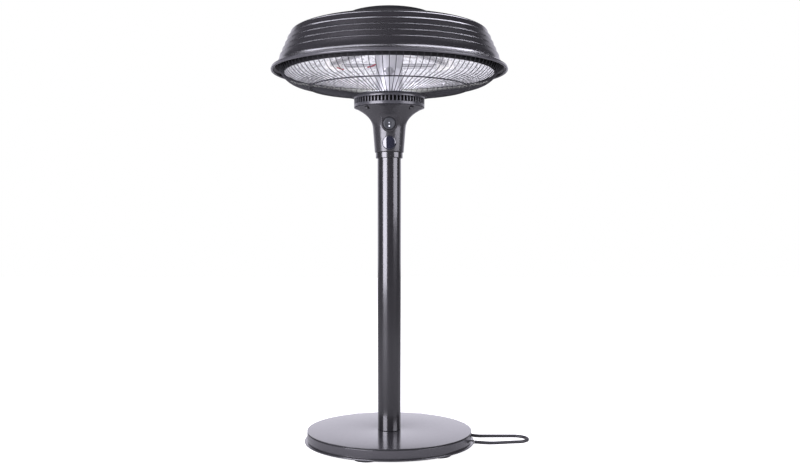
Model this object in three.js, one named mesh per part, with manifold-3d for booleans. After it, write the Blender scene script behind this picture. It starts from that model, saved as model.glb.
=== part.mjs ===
// A standing halogen patio heater: a weighted round base on rubber feet, a pole, a trumpet-shaped neck with
// the push button, and a lamp head under a ribbed round canopy with a wire guard.
// Millimetres, +Z up, the ground at z = 0, the pole on the Z axis and the button facing -Y.
import * as THREE from "three";
import { mergeVertices } from "three/addons/utils/BufferGeometryUtils.js";
import Module from "manifold-3d";

// ---------------------------------------------------------------- driving dimensions
const SEAT = 0.3; // gap left between touching pieces

// Base
const FOOT_COUNT = 6;
const FOOT_START_DEG = 12; // azimuth of the first foot
const FOOT_INSET = 25; // from the base's side wall to the middle of each foot
const FOOT_R = 25;
const FOOT_DROP = 5; // how far the feet hold the base off the ground
const FOOT_STEM_R = 4;
const BASE_R = 180; // side wall of the base
const BASE_HEIGHT = 25; // from the lip's underside to the top face
const BASE_EDGE_R = 3;
const BASE_LIP_REACH = 5.6; // the lip stands out past the side wall
const BASE_LIP_THICK = 3;
const COVER_WALL = 1.5;
const PLATE_THICK = 2;
const WEIGHT_THICK = 15;
const WEIGHT_MARGIN = 6; // between the weight and the cover's wall
const POLE_BOLT_COUNT = 3;
const POLE_BOLT_R = 3;
const POLE_BOLT_CIRCLE_R = 13.5;
const BOLT_HEAD_THICK = 3;

// Pole
const POLE_R = 25;
const POLE_WALL = 1.5;
const POLE_LENGTH = 599; // from the base's top face to the neck's floor
const POLE_PLUG_LENGTH = 40; // each plug's length inside the pole
const COLLAR_R = 28.7;
const COLLAR_HEIGHT = 12;

// Neck
const NECK_HEIGHT = 93;
const NECK_FOOT_R = 30.7;
const NECK_TAPER = 0.08; // growth of the radius for each millimetre of height
const NECK_FLARE_START = 48; // height at which the trumpet opens
const NECK_FLARE_POWER = 2.6;
const NECK_WALL = 2.5;
const NECK_FLOOR_THICK = 4;
const NECK_BOLT_R = 2;
const NECK_BOLT_CIRCLE_R = 14;
const NECK_SCREW_COUNT = 4;
const NECK_SCREW_CIRCLE_R = 65;
const NECK_SCREW_R = 2;
const NECK_SCREW_HEAD_R = 3.6;
const NECK_SCREW_REACH = 3; // how far the screws go into the vent ring's floor
const LEAD_PORT_R = 7; // the bore that the mains lead passes up through

// Controls
const PAD_HALF_WIDTH = 17.5;
const PAD_FRONT = 39.5; // distance of the pad's flat face from the axis
const BUTTON_HEIGHT = 57; // the button's centre above the neck's foot
const BUTTON_R = 12.2;
const BUTTON_GAP = 1.4;
const BUTTON_PROUD = 1.2;
const BUTTON_THICK = 5;
const BUTTON_TRAVEL = 1.2;
const RECESS_DEPTH = 3; // the spring's recess in the button's back
const PLUNGER_R = 3;
const LIGHT_R = 1.3;
const LIGHT_DEPTH = 1.2;
const POWER_LIGHT_RISE = 1.2; // each light's height above the button's centre
const HEAT_LIGHT_RISE = -5.5;
const LENS_HEIGHT = 18; // the receiver lens's centre above the neck's foot
const LENS_R = 13.3;
const LENS_DEPTH = 6;
const BOARD_HEIGHT = 62;
const BOARD_THICK = 1.6;
const BOARD_FRONT = 20; // distance of the board's front from the axis
const SWITCH_SIZE = 6;
const SWITCH_DEPTH = 5;
const RELAY_WIDTH = 16;
const RELAY_HEIGHT = 19;
const RELAY_DEPTH = 13;
const CAPACITOR_R = 4;
const EYE_SIZE = 6; // the infrared receiver behind the lens
const SPRING_R = 5;
const SPRING_WIRE_R = 0.35;
const SPRING_TURNS = 3;
const TERMINAL_WIDTH = 30;
const TERMINAL_HEIGHT = 16;
const TERMINAL_DEPTH = 13;
const TERMINAL_RISE = 5; // the terminal block's foot above the tilt switch
const INNER_LEAD_R = 2.5;
const INNER_LEAD_BEND_R = 10;

// Tilt switch
const TILT_CASE_WIDTH = 22;
const TILT_CASE_HEIGHT = 34;
const TILT_CASE_DEPTH = 14;
const TILT_WALL = 1.6;
const TILT_BOB_R = 4.5;
const TILT_ARM_LENGTH = 17;
const TILT_PIN_R = 1;
const TILT_EYE_R = 2.6;
const TILT_EYE_LENGTH = 5;

// Vent ring and head floor
const VENT_R = 74.5;
const VENT_HEIGHT = 22;
const VENT_WALL = 2.5;
const VENT_LIP = 1;
const VENT_LIP_THICK = 1.6;
const VENT_FLOOR_THICK = 4;
const SLOT_COUNT = 60;
const SLOT_WIDTH = 4.6;
const SLOT_HEIGHT = 10.7;
const SLOT_FOOT = 6.5; // from the ring's foot to the slots
const HEAD_FLOOR_THICK = 2;
const HEAD_FLOOR_BRIM = 2.5; // the floor's brim, past the vent ring's wall, holds the guard down
const WIRING_HOLE_R = 20;
const COLUMN_R = 28;
const COLUMN_WALL = 1;
const COLUMN_FLANGE = 6;
const COLUMN_HEAD_THICK = 2;
const CUTOUT_R = 8.5;
const CUTOUT_THICK = 6;
const CUTOUT_DROP = 3; // the cut-out's centre below the canopy's rim

// Canopy, measured from its rim upwards
const RIM_RISE = 52.1; // the canopy's rim above the vent ring's top
const RIM_R = 248.5;
const RIM_EDGE = 6; // height of the rim's upright edge, and its width
const FLARE_STEP = 18.2; // how far the flare steps in from the rim
const FLARE_HEIGHT = 24;
const RIB_COUNT = 4;
const RIB_FIRST = 29.5; // height of the lowest rib's corner
const RIB_PITCH = 12;
const RIB_FACE = 9.2; // the steep part of each rib's height
const RIB_SLOPE = 1.8; // how far each steep face leans in
const RIB_LEDGE = 3.7; // how far each ledge steps in
const SHOULDER_RISE = 11; // from the highest rib's corner to the shoulder
const SHOULDER_STEP = 6.7;
const CROWN_RISE = 31; // from the shoulder to the cap
const CROWN_POWER = 0.6;
const CROWN_FLAT_R = 80; // the crown's level middle
const CANOPY_WALL = 1.5;
const CAP_R = 88;
const CAP_EDGE = 8; // height of the cap's upright edge
const CAP_RISE = 18;
const CAP_POWER = 2.8;
const CAP_WALL = 1.5;
const CAP_BOSS_R = 10;
const STUD_R = 5;
const STUD_REACH = 10; // how far the post goes up into the cap's boss
const POST_R = 9;
const POST_NUT_THICK = 5;

// Reflector and lamps
const REFLECTOR_INSET = 29; // from the canopy's rim to the reflector's
const REFLECTOR_DROP = 4.5; // the reflector's rim below the canopy's rim
const REFLECTOR_DEPTH = 62;
const REFLECTOR_CROWN_R = 120;
const REFLECTOR_WALL = 1;
const LAMP_COUNT = 3;
const LAMP_LENGTH = 224;
const LAMP_R = 5.5;
const LAMP_PINCH_R = 4; // the lamp's flattened ends
const LAMP_PINCH_LENGTH = 10;
const LAMP_HEIGHT = 30; // above the reflector's rim
const HOLDER_LENGTH = 22;
const HOLDER_SIZE = 15;
const HOLDER_OVERLAP = 8; // how far the lamp's end sits in the holder
const HOLDER_CLEAR = 1.5; // from each holder's corner to the line halfway to its neighbour
const BRACKET_WIDTH = 8;
const BRACKET_THICK = 10;
const LAMP_LEAD_R = 1.6;
const LAMP_LEAD_RISE = 3; // the leads pass this far above the holders

// Guard
const GUARD_WIRES = 24;
const GUARD_WIRE_R = 1.25;
const GUARD_HOOP_R = 1.6;
const GUARD_CORNER_R = 48;
const GUARD_CORNER_RISE = 20.4; // the corner's centre above the canopy's rim
const GUARD_INSET = 14.4; // from the canopy's rim to the guard's top hoop
const GUARD_MID_INSET = 79.5; // and to its middle hoop
const GUARD_WELD = 0.8; // share of the two wires' radii left between their centres where they cross

// Mains lead
const CORD_R = 3.5;
const EXIT_AZIMUTH_DEG = -6;
const GLAND_LENGTH = 36;
const GLAND_INSET = 30; // how far inside the base's side wall the gland starts
const GLAND_R = 5.2;
const HANK_RUN = 140; // the hank's straight part
const HANK_BEND_R = 24.5;
const HANK_STRANDS_WIDE = 2;
const HANK_STRANDS_HIGH = 2;
const HANK_GAP = 3; // between the base's lip and the hank
const CORD_REACH = 93.6; // how far the lead runs out before it turns back
const CORD_BEND_R = 28;
const CORD_CLEAR = 5; // between the lead's middle and the base's lip, where it follows the lip
const PLUG_WIDTH = 46;
const PLUG_LENGTH = 48;
const PLUG_THICK = 20;
const PLUG_GAP = 32; // from the hank to the plug's boot
const PLUG_BOOT_LENGTH = 16;
const PLUG_BOOT_R = 6;
const PIN_LENGTH = 18;

// Facets
const LARGE_ROUND = 48;
const MEDIUM_ROUND = 24;
const SMALL_ROUND = 12;
const TINY_ROUND = 8;

// ---------------------------------------------------------------- places worked out from them
const rad = THREE.MathUtils.degToRad;
const FACET_SHRINK = Math.cos(Math.PI / MEDIUM_ROUND); // a faceted bore is narrower across its flats
const LARGE_SHRINK = Math.cos(Math.PI / LARGE_ROUND);
const FOOT_CIRCLE_R = BASE_R - FOOT_INSET;
const PLATE_FOOT_Z = FOOT_DROP;
const WEIGHT_FOOT_Z = PLATE_FOOT_Z + PLATE_THICK + SEAT;
const WEIGHT_TOP_Z = WEIGHT_FOOT_Z + WEIGHT_THICK;
const BASE_TOP_Z = FOOT_DROP + BASE_HEIGHT;
const COVER_UNDER_Z = BASE_TOP_Z - COVER_WALL;
const POLE_FOOT_Z = BASE_TOP_Z + SEAT;
const POLE_TOP_Z = POLE_FOOT_Z + POLE_LENGTH;
const POLE_BORE_R = POLE_R - POLE_WALL;
const NECK_FOOT_Z = POLE_TOP_Z + SEAT;
const NECK_TOP_Z = NECK_FOOT_Z + NECK_HEIGHT;
const BUTTON_Z = NECK_FOOT_Z + BUTTON_HEIGHT;
const LENS_Z = NECK_FOOT_Z + LENS_HEIGHT;
const VENT_FOOT_Z = NECK_TOP_Z + SEAT;
const VENT_TOP_Z = VENT_FOOT_Z + VENT_HEIGHT;
const HEAD_FLOOR_Z = VENT_TOP_Z + SEAT;
const HEAD_FLOOR_TOP_Z = HEAD_FLOOR_Z + HEAD_FLOOR_THICK;
const RIM_Z = VENT_TOP_Z + RIM_RISE;
const SHOULDER_HEIGHT = RIB_FIRST + (RIB_COUNT - 1) * RIB_PITCH + SHOULDER_RISE;
const FLARE_R = RIM_R - FLARE_STEP;
const FIRST_CORNER_R = FLARE_R - ((RIB_FIRST - FLARE_HEIGHT) * RIB_SLOPE) / RIB_FACE;
const SHOULDER_R = FIRST_CORNER_R - (RIB_COUNT - 1) * (RIB_SLOPE + RIB_LEDGE) - SHOULDER_STEP;
const CROWN_HEIGHT = SHOULDER_HEIGHT + CROWN_RISE;
const CROWN_Z = RIM_Z + CROWN_HEIGHT;
const REFLECTOR_R = RIM_R - REFLECTOR_INSET;
const REFLECTOR_RIM_Z = RIM_Z - REFLECTOR_DROP;
const REFLECTOR_TOP_Z = REFLECTOR_RIM_Z + REFLECTOR_DEPTH;
const LAMP_Z = REFLECTOR_RIM_Z + LAMP_HEIGHT;
const HOLDER_END = LAMP_LENGTH / 2 + HOLDER_LENGTH - HOLDER_OVERLAP; // from the lamp's middle
const HALF_CORNER = Math.PI / LAMP_COUNT;
const LAMP_OFFSET =
  (HOLDER_END * Math.cos(HALF_CORNER) + HOLDER_CLEAR) / Math.sin(HALF_CORNER) + HOLDER_SIZE / 2;
const COLUMN_FOOT_Z = HEAD_FLOOR_TOP_Z + SEAT;
const COLUMN_TOP_Z = REFLECTOR_TOP_Z - REFLECTOR_WALL - SEAT;
const BOARD_BACK = BOARD_FRONT - BOARD_THICK;
const SWITCH_FRONT = BOARD_FRONT + SEAT + SWITCH_DEPTH;
const BUTTON_FRONT = PAD_FRONT + BUTTON_PROUD;
const BUTTON_BACK = BUTTON_FRONT - BUTTON_THICK;
const RECESS_FLOOR = BUTTON_BACK + RECESS_DEPTH;
const WELL_FLOOR = BUTTON_BACK - BUTTON_TRAVEL - 2 * SEAT;
const GLAND_Z = GLAND_R + SEAT;
const GLAND_INNER_R = BASE_R - GLAND_INSET;
const GLAND_END_R = GLAND_INNER_R + GLAND_LENGTH;
const exitAngle = rad(EXIT_AZIMUTH_DEG);
const GUARD_INNER_R = VENT_R + VENT_LIP + SEAT + GUARD_HOOP_R + 0.1;
const GUARD_INNER_Z = VENT_TOP_Z + 0.5;
const RIM_INNER_R = RIM_R - RIM_EDGE;
// Rise over run of the flare's inside, from the rim's edge to the first corner
const FLARE_STEEP = (FLARE_HEIGHT - RIM_EDGE + 1) / (RIM_INNER_R - FLARE_R + CANOPY_WALL);
const GUARD_TOP_R = RIM_R - GUARD_INSET;
const GUARD_MID_R = RIM_R - GUARD_MID_INSET;
const GUARD_TOP_Z =
  RIM_Z + RIM_EDGE - 1 + (RIM_INNER_R - GUARD_TOP_R / LARGE_SHRINK) * FLARE_STEEP -
  (GUARD_HOOP_R + SEAT) * Math.hypot(1, FLARE_STEEP);

// ---------------------------------------------------------------- solids
const wasm = await Module();
wasm.setup();

/** A closed geometry as a solid that can be joined and cut. */
function solid(geometry) {
  const bare = geometry.index ? geometry.toNonIndexed() : geometry.clone();
  bare.deleteAttribute("normal");
  bare.deleteAttribute("uv");
  const merged = mergeVertices(bare, 1e-4);
  const made = new wasm.Manifold(
    new wasm.Mesh({
      numProp: 3,
      vertProperties: merged.attributes.position.array,
      triVerts: new Uint32Array(merged.index.array),
    }),
  );
  return made;
}

/** A solid's surface as a geometry. */
function surface(made) {
  const mesh = made.getMesh();
  const geometry = new THREE.BufferGeometry();
  geometry.setAttribute("position", new THREE.BufferAttribute(mesh.vertProperties, 3));
  geometry.setIndex(new THREE.BufferAttribute(mesh.triVerts, 1));
  return geometry.toNonIndexed();
}

/** A profile of [radius, height] points, from the bottom up the outside, spun about the Z axis. */
function turned(profile, segments = LARGE_ROUND) {
  const points = profile.map(([r, z]) => new THREE.Vector2(r, z));
  return solid(new THREE.LatheGeometry(points, segments).rotateX(Math.PI / 2));
}

/** A ring of rectangular section. */
function ring(inner, outer, foot, top, segments = LARGE_ROUND) {
  return turned([[inner, foot], [outer, foot], [outer, top], [inner, top], [inner, foot]], segments);
}

/** A disc or an upright round bar on the Z axis, or at x, y. */
function bar(r, foot, top, x = 0, y = 0, segments = SMALL_ROUND) {
  const geometry = new THREE.CylinderGeometry(r, r, top - foot, segments);
  return solid(geometry.rotateX(Math.PI / 2).translate(x, y, (foot + top) / 2));
}

/** A round bar between two points. */
function barBetween(r, from, to, segments = SMALL_ROUND) {
  const along = to.clone().sub(from);
  const middle = from.clone().add(to).multiplyScalar(0.5);
  const upright = new THREE.Vector3(0, 1, 0);
  const turn = new THREE.Quaternion().setFromUnitVectors(upright, along.clone().normalize());
  const geometry = new THREE.CylinderGeometry(r, r, along.length(), segments);
  return solid(geometry.applyQuaternion(turn).translate(...middle.toArray()));
}

/** A block from its lowest to its highest corner. */
function block(low, high) {
  const size = high.map((v, i) => v - low[i]);
  const middle = high.map((v, i) => (v + low[i]) / 2);
  return solid(new THREE.BoxGeometry(...size).translate(...middle));
}

/** A flat outline pulled up from foot to top. */
function pulled(shape, foot, top, curveSegments = SMALL_ROUND) {
  const options = { depth: top - foot, bevelEnabled: false, curveSegments };
  return solid(new THREE.ExtrudeGeometry(shape, options).translate(0, 0, foot));
}

/** A round tube along a smooth curve through points. */
function tube(points, r, sides, steps) {
  const path = new THREE.CatmullRomCurve3(points.map((p) => new THREE.Vector3(...p)));
  return tubeAlong(path, r, sides, steps);
}

/** A round tube along any curve. */
function tubeAlong(extrudePath, r, sides, steps) {
  const section = new THREE.Shape();
  for (let i = 0; i < sides; i++) {
    const a = (2 * Math.PI * i) / sides;
    section.lineTo(r * Math.cos(a), r * Math.sin(a));
  }
  return solid(new THREE.ExtrudeGeometry(section, { extrudePath, steps }));
}

/** A path whose tube gets one ring at each of its points. */
class Route extends THREE.Curve {
  constructor(points) {
    super();
    this.points = points.map((p) => new THREE.Vector3(...p));
  }

  getPointAt(share, target = new THREE.Vector3()) {
    return target.copy(this.points[Math.round(share * (this.points.length - 1))]);
  }

  getTangentAt(share, target = new THREE.Vector3()) {
    const i = Math.round(share * (this.points.length - 1));
    const here = this.points[i];
    const next = this.points[Math.min(i + 1, this.points.length - 1)].clone().sub(here).normalize();
    const last = here.clone().sub(this.points[Math.max(i - 1, 0)]).normalize();
    return target.copy(next.add(last)).normalize();
  }
}

/** A round tube with a ring at each of the points given. */
function tubeThrough(points, r, sides) {
  return tubeAlong(new Route(points), r, sides, points.length - 1);
}

/** Points on a level arc, from one angle to another in degrees, both ends included. */
function arcPoints(x, y, r, fromDeg, toDeg, z, steps) {
  return Array.from({ length: steps + 1 }, (_, i) => {
    const a = rad(fromDeg + ((toDeg - fromDeg) * i) / steps);
    return [x + r * Math.cos(a), y + r * Math.sin(a), z];
  });
}

/** Evenly spaced points between two ends, neither end included. */
function between(from, to, count) {
  return Array.from({ length: count }, (_, i) => {
    const share = (i + 1) / (count + 1);
    return from.map((v, axis) => v + (to[axis] - v) * share);
  });
}

/** Solids joined into one. */
function joined(solids) {
  return solids.reduce((a, b) => a.add(b));
}

const at = (azimuth, r, z) => new THREE.Vector3(r * Math.cos(azimuth), r * Math.sin(azimuth), z);
const spun = (made, azimuth) => made.rotate([0, 0, THREE.MathUtils.radToDeg(azimuth)]);
const around = (count, start = 0) =>
  Array.from({ length: count }, (_, i) => start + (2 * Math.PI * i) / count);

// ---------------------------------------------------------------- materials
const finish = (color, roughness, metalness) =>
  new THREE.MeshStandardMaterial({ color, roughness, metalness });
const charcoal = finish(0x3a3a3e, 0.35, 0.2);
const blackPlastic = finish(0x17171a, 0.5, 0);
const greyPlastic = finish(0x5c5e62, 0.45, 0);
const rubber = finish(0x1b1b1c, 0.85, 0);
const castIron = finish(0x45464a, 0.7, 0.6);
const zinc = finish(0xb9bcc0, 0.4, 0.9);
const brightAluminium = finish(0xe4e4e6, 0.25, 0.9);
const wireBlack = finish(0x2b2c30, 0.4, 0.5);
const quartz = finish(0xf2eee6, 0.1, 0);
const ceramic = finish(0xe9e4d8, 0.6, 0);
const redSilicone = finish(0xb02434, 0.6, 0);
const circuitGreen = finish(0x2f5d3a, 0.5, 0);
const darkLens = finish(0x14151c, 0.08, 0);
const clearLens = finish(0xe8ecf2, 0.15, 0);

const heater = new THREE.Group();

/** Adds one named piece. */
function piece(name, made, material, parent = heater) {
  const mesh = new THREE.Mesh(surface(made), material);
  mesh.name = name;
  parent.add(mesh);
  return mesh;
}

// ---------------------------------------------------------------- base
const footAzimuths = around(FOOT_COUNT, rad(FOOT_START_DEG));
const poleBoltAzimuths = around(POLE_BOLT_COUNT, exitAngle + Math.PI / POLE_BOLT_COUNT);

/** The groove that the mains lead lies in, from the pole to the base's edge. */
function leadGroove(clear) {
  const outer = BASE_R + BASE_LIP_REACH + 10;
  const groove = block([0, -CORD_R - clear, -1], [GLAND_INNER_R, CORD_R + clear, GLAND_Z + CORD_R + clear]);
  const mouth = block(
    [GLAND_INNER_R - SEAT, -GLAND_R - clear, -1],
    [outer, GLAND_R + clear, GLAND_Z + GLAND_R + clear],
  );
  return spun(groove.add(mouth), exitAngle);
}

function baseCover() {
  const lipTop = PLATE_FOOT_Z + BASE_LIP_THICK;
  const inner = BASE_R - COVER_WALL;
  const hole = POLE_BORE_R - SEAT;
  const edgeR = BASE_R - BASE_EDGE_R;
  const edgeZ = BASE_TOP_Z - BASE_EDGE_R;
  const edge = [0, Math.PI / 4, Math.PI / 2].map((a) => [
    edgeR + BASE_EDGE_R * Math.cos(a),
    edgeZ + BASE_EDGE_R * Math.sin(a),
  ]);
  const shell = turned([
    [inner, PLATE_FOOT_Z],
    [BASE_R + BASE_LIP_REACH, PLATE_FOOT_Z],
    [BASE_R + BASE_LIP_REACH, lipTop - 0.8],
    [BASE_R + BASE_LIP_REACH - 0.8, lipTop],
    [BASE_R + 0.3, lipTop],
    ...edge,
    [hole, BASE_TOP_Z],
    [hole, COVER_UNDER_Z],
    [inner - BASE_EDGE_R, COVER_UNDER_Z],
    [inner, COVER_UNDER_Z - BASE_EDGE_R],
    [inner, PLATE_FOOT_Z],
  ]);
  return shell.subtract(leadGroove(SEAT));
}

/** Cuts the holes that the base's plate and weight share: the bolts, the feet's stems and the lead. */
function drilled(made) {
  const bore = bar(LEAD_PORT_R, 0, BASE_TOP_Z, 0, 0);
  const bolts = poleBoltAzimuths.map((a) => {
    const { x, y } = at(a, POLE_BOLT_CIRCLE_R, 0);
    return bar(POLE_BOLT_R + SEAT, 0, BASE_TOP_Z, x, y);
  });
  const stems = footAzimuths.map((a) => {
    const { x, y } = at(a, FOOT_CIRCLE_R, 0);
    return bar(FOOT_STEM_R + SEAT * 1.5, 0, WEIGHT_FOOT_Z + FOOT_STEM_R, x, y, TINY_ROUND);
  });
  return made.subtract(joined([bore, ...bolts, ...stems])).subtract(leadGroove(SEAT));
}

function basePlate() {
  const outer = BASE_R - COVER_WALL - SEAT;
  return drilled(ring(LEAD_PORT_R - 1, outer, PLATE_FOOT_Z, PLATE_FOOT_Z + PLATE_THICK));
}

function baseWeight() {
  return drilled(ring(LEAD_PORT_R - 1, BASE_R - COVER_WALL - WEIGHT_MARGIN, WEIGHT_FOOT_Z, WEIGHT_TOP_Z));
}

/** A rubber foot pad with the stem that holds it in the plate and the weight. */
function foot(azimuth) {
  const top = PLATE_FOOT_Z - SEAT;
  const pad = turned(
    [[0, 0], [FOOT_R - 2, 0], [FOOT_R, 1.5], [FOOT_R, top], [FOOT_STEM_R, top],
      [FOOT_STEM_R, WEIGHT_FOOT_Z + FOOT_STEM_R - SEAT], [0, WEIGHT_FOOT_Z + FOOT_STEM_R - SEAT]],
    SMALL_ROUND + 4,
  );
  return pad.translate(at(azimuth, FOOT_CIRCLE_R, 0).toArray());
}

/** A bolt from below the base up into the pole's plug. */
function poleBolt(azimuth) {
  const headTop = PLATE_FOOT_Z - SEAT;
  const head = bar(POLE_BOLT_R * 1.7, headTop - BOLT_HEAD_THICK, headTop, 0, 0, 6);
  const shank = bar(POLE_BOLT_R, headTop - 1, POLE_FOOT_Z + POLE_PLUG_LENGTH / 2, 0, 0);
  return head.add(shank).translate(at(azimuth, POLE_BOLT_CIRCLE_R, 0).toArray());
}

piece("base_cover", baseCover(), charcoal);
piece("base_plate", basePlate(), zinc);
piece("base_weight", baseWeight(), castIron);
footAzimuths.forEach((a, i) => piece(`foot_${i + 1}`, foot(a), rubber));
poleBoltAzimuths.forEach((a, i) => piece(`pole_bolt_${i + 1}`, poleBolt(a), zinc));

// ---------------------------------------------------------------- pole
/** The plug in the pole's foot: it passes through the cover and stands on the weight. */
function poleFootPlug() {
  const r = POLE_BORE_R - 2 * SEAT;
  const body = ring(LEAD_PORT_R, r, WEIGHT_TOP_Z + SEAT, POLE_FOOT_Z + POLE_PLUG_LENGTH, MEDIUM_ROUND);
  const taps = poleBoltAzimuths.map((a) => {
    const { x, y } = at(a, POLE_BOLT_CIRCLE_R, 0);
    return bar(POLE_BOLT_R + SEAT, 0, POLE_FOOT_Z + POLE_PLUG_LENGTH / 2 + SEAT, x, y);
  });
  return body.subtract(joined(taps));
}

const neckBoltAzimuths = around(2, 0);
const NECK_BOLT_FOOT_Z = POLE_TOP_Z - POLE_PLUG_LENGTH / 2;

/** The plug in the pole's top, which the neck is bolted down to. */
function poleHeadPlug() {
  const body = ring(LEAD_PORT_R, POLE_BORE_R - SEAT, POLE_TOP_Z - POLE_PLUG_LENGTH, POLE_TOP_Z, MEDIUM_ROUND);
  const taps = neckBoltAzimuths.map((a) => {
    const { x, y } = at(a, NECK_BOLT_CIRCLE_R, 0);
    return bar(NECK_BOLT_R + SEAT, NECK_BOLT_FOOT_Z - SEAT, POLE_TOP_Z + 1, x, y);
  });
  return body.subtract(joined(taps));
}

function collar() {
  const inner = POLE_R + SEAT;
  const top = POLE_TOP_Z;
  const foot = top - COLLAR_HEIGHT;
  return turned(
    [[inner, foot], [COLLAR_R - 0.6, foot], [COLLAR_R, foot + 0.6], [COLLAR_R, top - 0.6],
      [COLLAR_R - 0.6, top], [inner, top], [inner, foot]],
    MEDIUM_ROUND,
  );
}

piece("pole_foot_plug", poleFootPlug(), castIron);
piece("pole_tube", ring(POLE_BORE_R, POLE_R, POLE_FOOT_Z, POLE_TOP_Z, MEDIUM_ROUND), charcoal);
piece("pole_head_plug", poleHeadPlug(), castIron);
piece("collar", collar(), charcoal);

// ---------------------------------------------------------------- neck
/** The neck's outer radius at a height above its foot. */
function neckRadius(height) {
  const straight = NECK_FOOT_R + NECK_TAPER * height;
  const flareHeight = NECK_HEIGHT - NECK_FLARE_START;
  const flare = VENT_R - SEAT - NECK_FOOT_R - NECK_TAPER * NECK_HEIGHT;
  const share = Math.max(0, height - NECK_FLARE_START) / flareHeight;
  return straight + flare * share ** NECK_FLARE_POWER;
}

const neckShares = [0, 0.25, 0.52, 0.62, 0.71, 0.78, 0.85, 0.91, 0.96, 1];
const neckHeights = neckShares.map((share) => share * NECK_HEIGHT);
const neckScrewAzimuths = around(NECK_SCREW_COUNT, Math.PI / 4);

/** The U-shaped raised pad that carries the button, from its back to its flat face. */
function pad(back) {
  const shape = new THREE.Shape();
  shape.absarc(0, 0, PAD_HALF_WIDTH, Math.PI, 2 * Math.PI);
  shape.lineTo(PAD_HALF_WIDTH, PAD_HALF_WIDTH);
  shape.lineTo(-PAD_HALF_WIDTH, PAD_HALF_WIDTH);
  const geometry = new THREE.ExtrudeGeometry(shape, {
    depth: PAD_FRONT - back,
    bevelEnabled: false,
    curveSegments: 12,
  });
  return solid(geometry.rotateX(Math.PI / 2).translate(0, -back, BUTTON_Z));
}

/** The neck's outer form, solid. */
function neckEnvelope() {
  const outline = neckHeights.map((h) => [neckRadius(h), NECK_FOOT_Z + h]);
  return turned([[0, NECK_FOOT_Z], ...outline, [0, NECK_TOP_Z]], MEDIUM_ROUND);
}

/** The space inside the neck, down to its floor. */
function neckHollow() {
  const wall = neckHeights.map((h) => [neckRadius(h) - NECK_WALL, NECK_FOOT_Z + h]);
  const floor = NECK_FOOT_Z + NECK_FLOOR_THICK;
  const rising = wall.slice(1);
  const top = rising[rising.length - 1];
  const foot = [[0, floor], [wall[0][0], floor]];
  const lid = [[top[0], top[1] + 1], [0, top[1] + 1]];
  return turned([...foot, ...rising, ...lid], MEDIUM_ROUND);
}

/** A round hole through the neck's front, along Y. */
function frontHole(r, z, from, to) {
  return barBetween(r, new THREE.Vector3(0, -from, z), new THREE.Vector3(0, -to, z), MEDIUM_ROUND);
}

/** A post inside the neck's flare that a screw passes up through. */
function screwPost(azimuth, r, foot, top) {
  return bar(r, foot, top, 0, 0, TINY_ROUND).translate(at(azimuth, NECK_SCREW_CIRCLE_R, 0).toArray());
}

/** The height of the seats that the screw heads meet, in the pockets of the flare. */
const SCREW_SEAT_Z = NECK_TOP_Z - 4;

function neckHousing() {
  const body = neckEnvelope();
  const postR = NECK_SCREW_HEAD_R + 1.6;
  const posts = neckScrewAzimuths.map((a) => screwPost(a, postR, NECK_TOP_Z - 14, NECK_TOP_Z));
  const pockets = neckScrewAzimuths.map((a) =>
    screwPost(a, NECK_SCREW_HEAD_R + SEAT, NECK_TOP_Z - 30, SCREW_SEAT_Z).add(
      screwPost(a, NECK_SCREW_R + SEAT, NECK_TOP_Z - 5, NECK_TOP_Z + 1),
    ),
  );
  const shell = body
    .subtract(neckHollow())
    .add(joined(posts).intersect(body))
    .add(pad(WELL_FLOOR - NECK_WALL));
  const buttonWell = frontHole(BUTTON_R + BUTTON_GAP, BUTTON_Z, WELL_FLOOR, PAD_FRONT + 20);
  const plungerHole = frontHole(PLUNGER_R + SEAT, BUTTON_Z, 0, PAD_FRONT);
  const lensHole = frontHole(LENS_R + SEAT, LENS_Z, NECK_FOOT_R / 2, PAD_FRONT);
  const bolts = neckBoltAzimuths.map((a) => {
    const { x, y } = at(a, NECK_BOLT_CIRCLE_R, 0);
    return bar(NECK_BOLT_R + SEAT, NECK_FOOT_Z - 1, NECK_FOOT_Z + NECK_FLOOR_THICK + 1, x, y);
  });
  const port = bar(LEAD_PORT_R, NECK_FOOT_Z - 1, NECK_FOOT_Z + NECK_FLOOR_THICK + 1);
  return shell.subtract(joined([buttonWell, plungerHole, lensHole, port, ...bolts, ...pockets]));
}

/** A screw from the neck's floor down into the pole's plug. */
function neckBolt(azimuth) {
  const floor = NECK_FOOT_Z + NECK_FLOOR_THICK + SEAT;
  const head = bar(NECK_BOLT_R * 1.9, floor, floor + 2.4, 0, 0, 12);
  const shank = bar(NECK_BOLT_R, NECK_BOLT_FOOT_Z, floor + 1, 0, 0, 12);
  return head.add(shank).translate(at(azimuth, NECK_BOLT_CIRCLE_R, 0).toArray());
}

/** A screw up through the flare into the vent ring's floor. */
function neckScrew(azimuth) {
  const seat = SCREW_SEAT_Z - SEAT;
  const head = bar(NECK_SCREW_HEAD_R, seat - 2.5, seat, 0, 0, TINY_ROUND);
  const shank = bar(NECK_SCREW_R, seat - 1, VENT_FOOT_Z + NECK_SCREW_REACH, 0, 0, TINY_ROUND);
  return head.add(shank).translate(at(azimuth, NECK_SCREW_CIRCLE_R, 0).toArray());
}

piece("neck_housing", neckHousing(), charcoal);
neckBoltAzimuths.forEach((a, i) => piece(`neck_bolt_${i + 1}`, neckBolt(a), zinc));
neckScrewAzimuths.forEach((a, i) => piece(`neck_screw_${i + 1}`, neckScrew(a), zinc));

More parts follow.
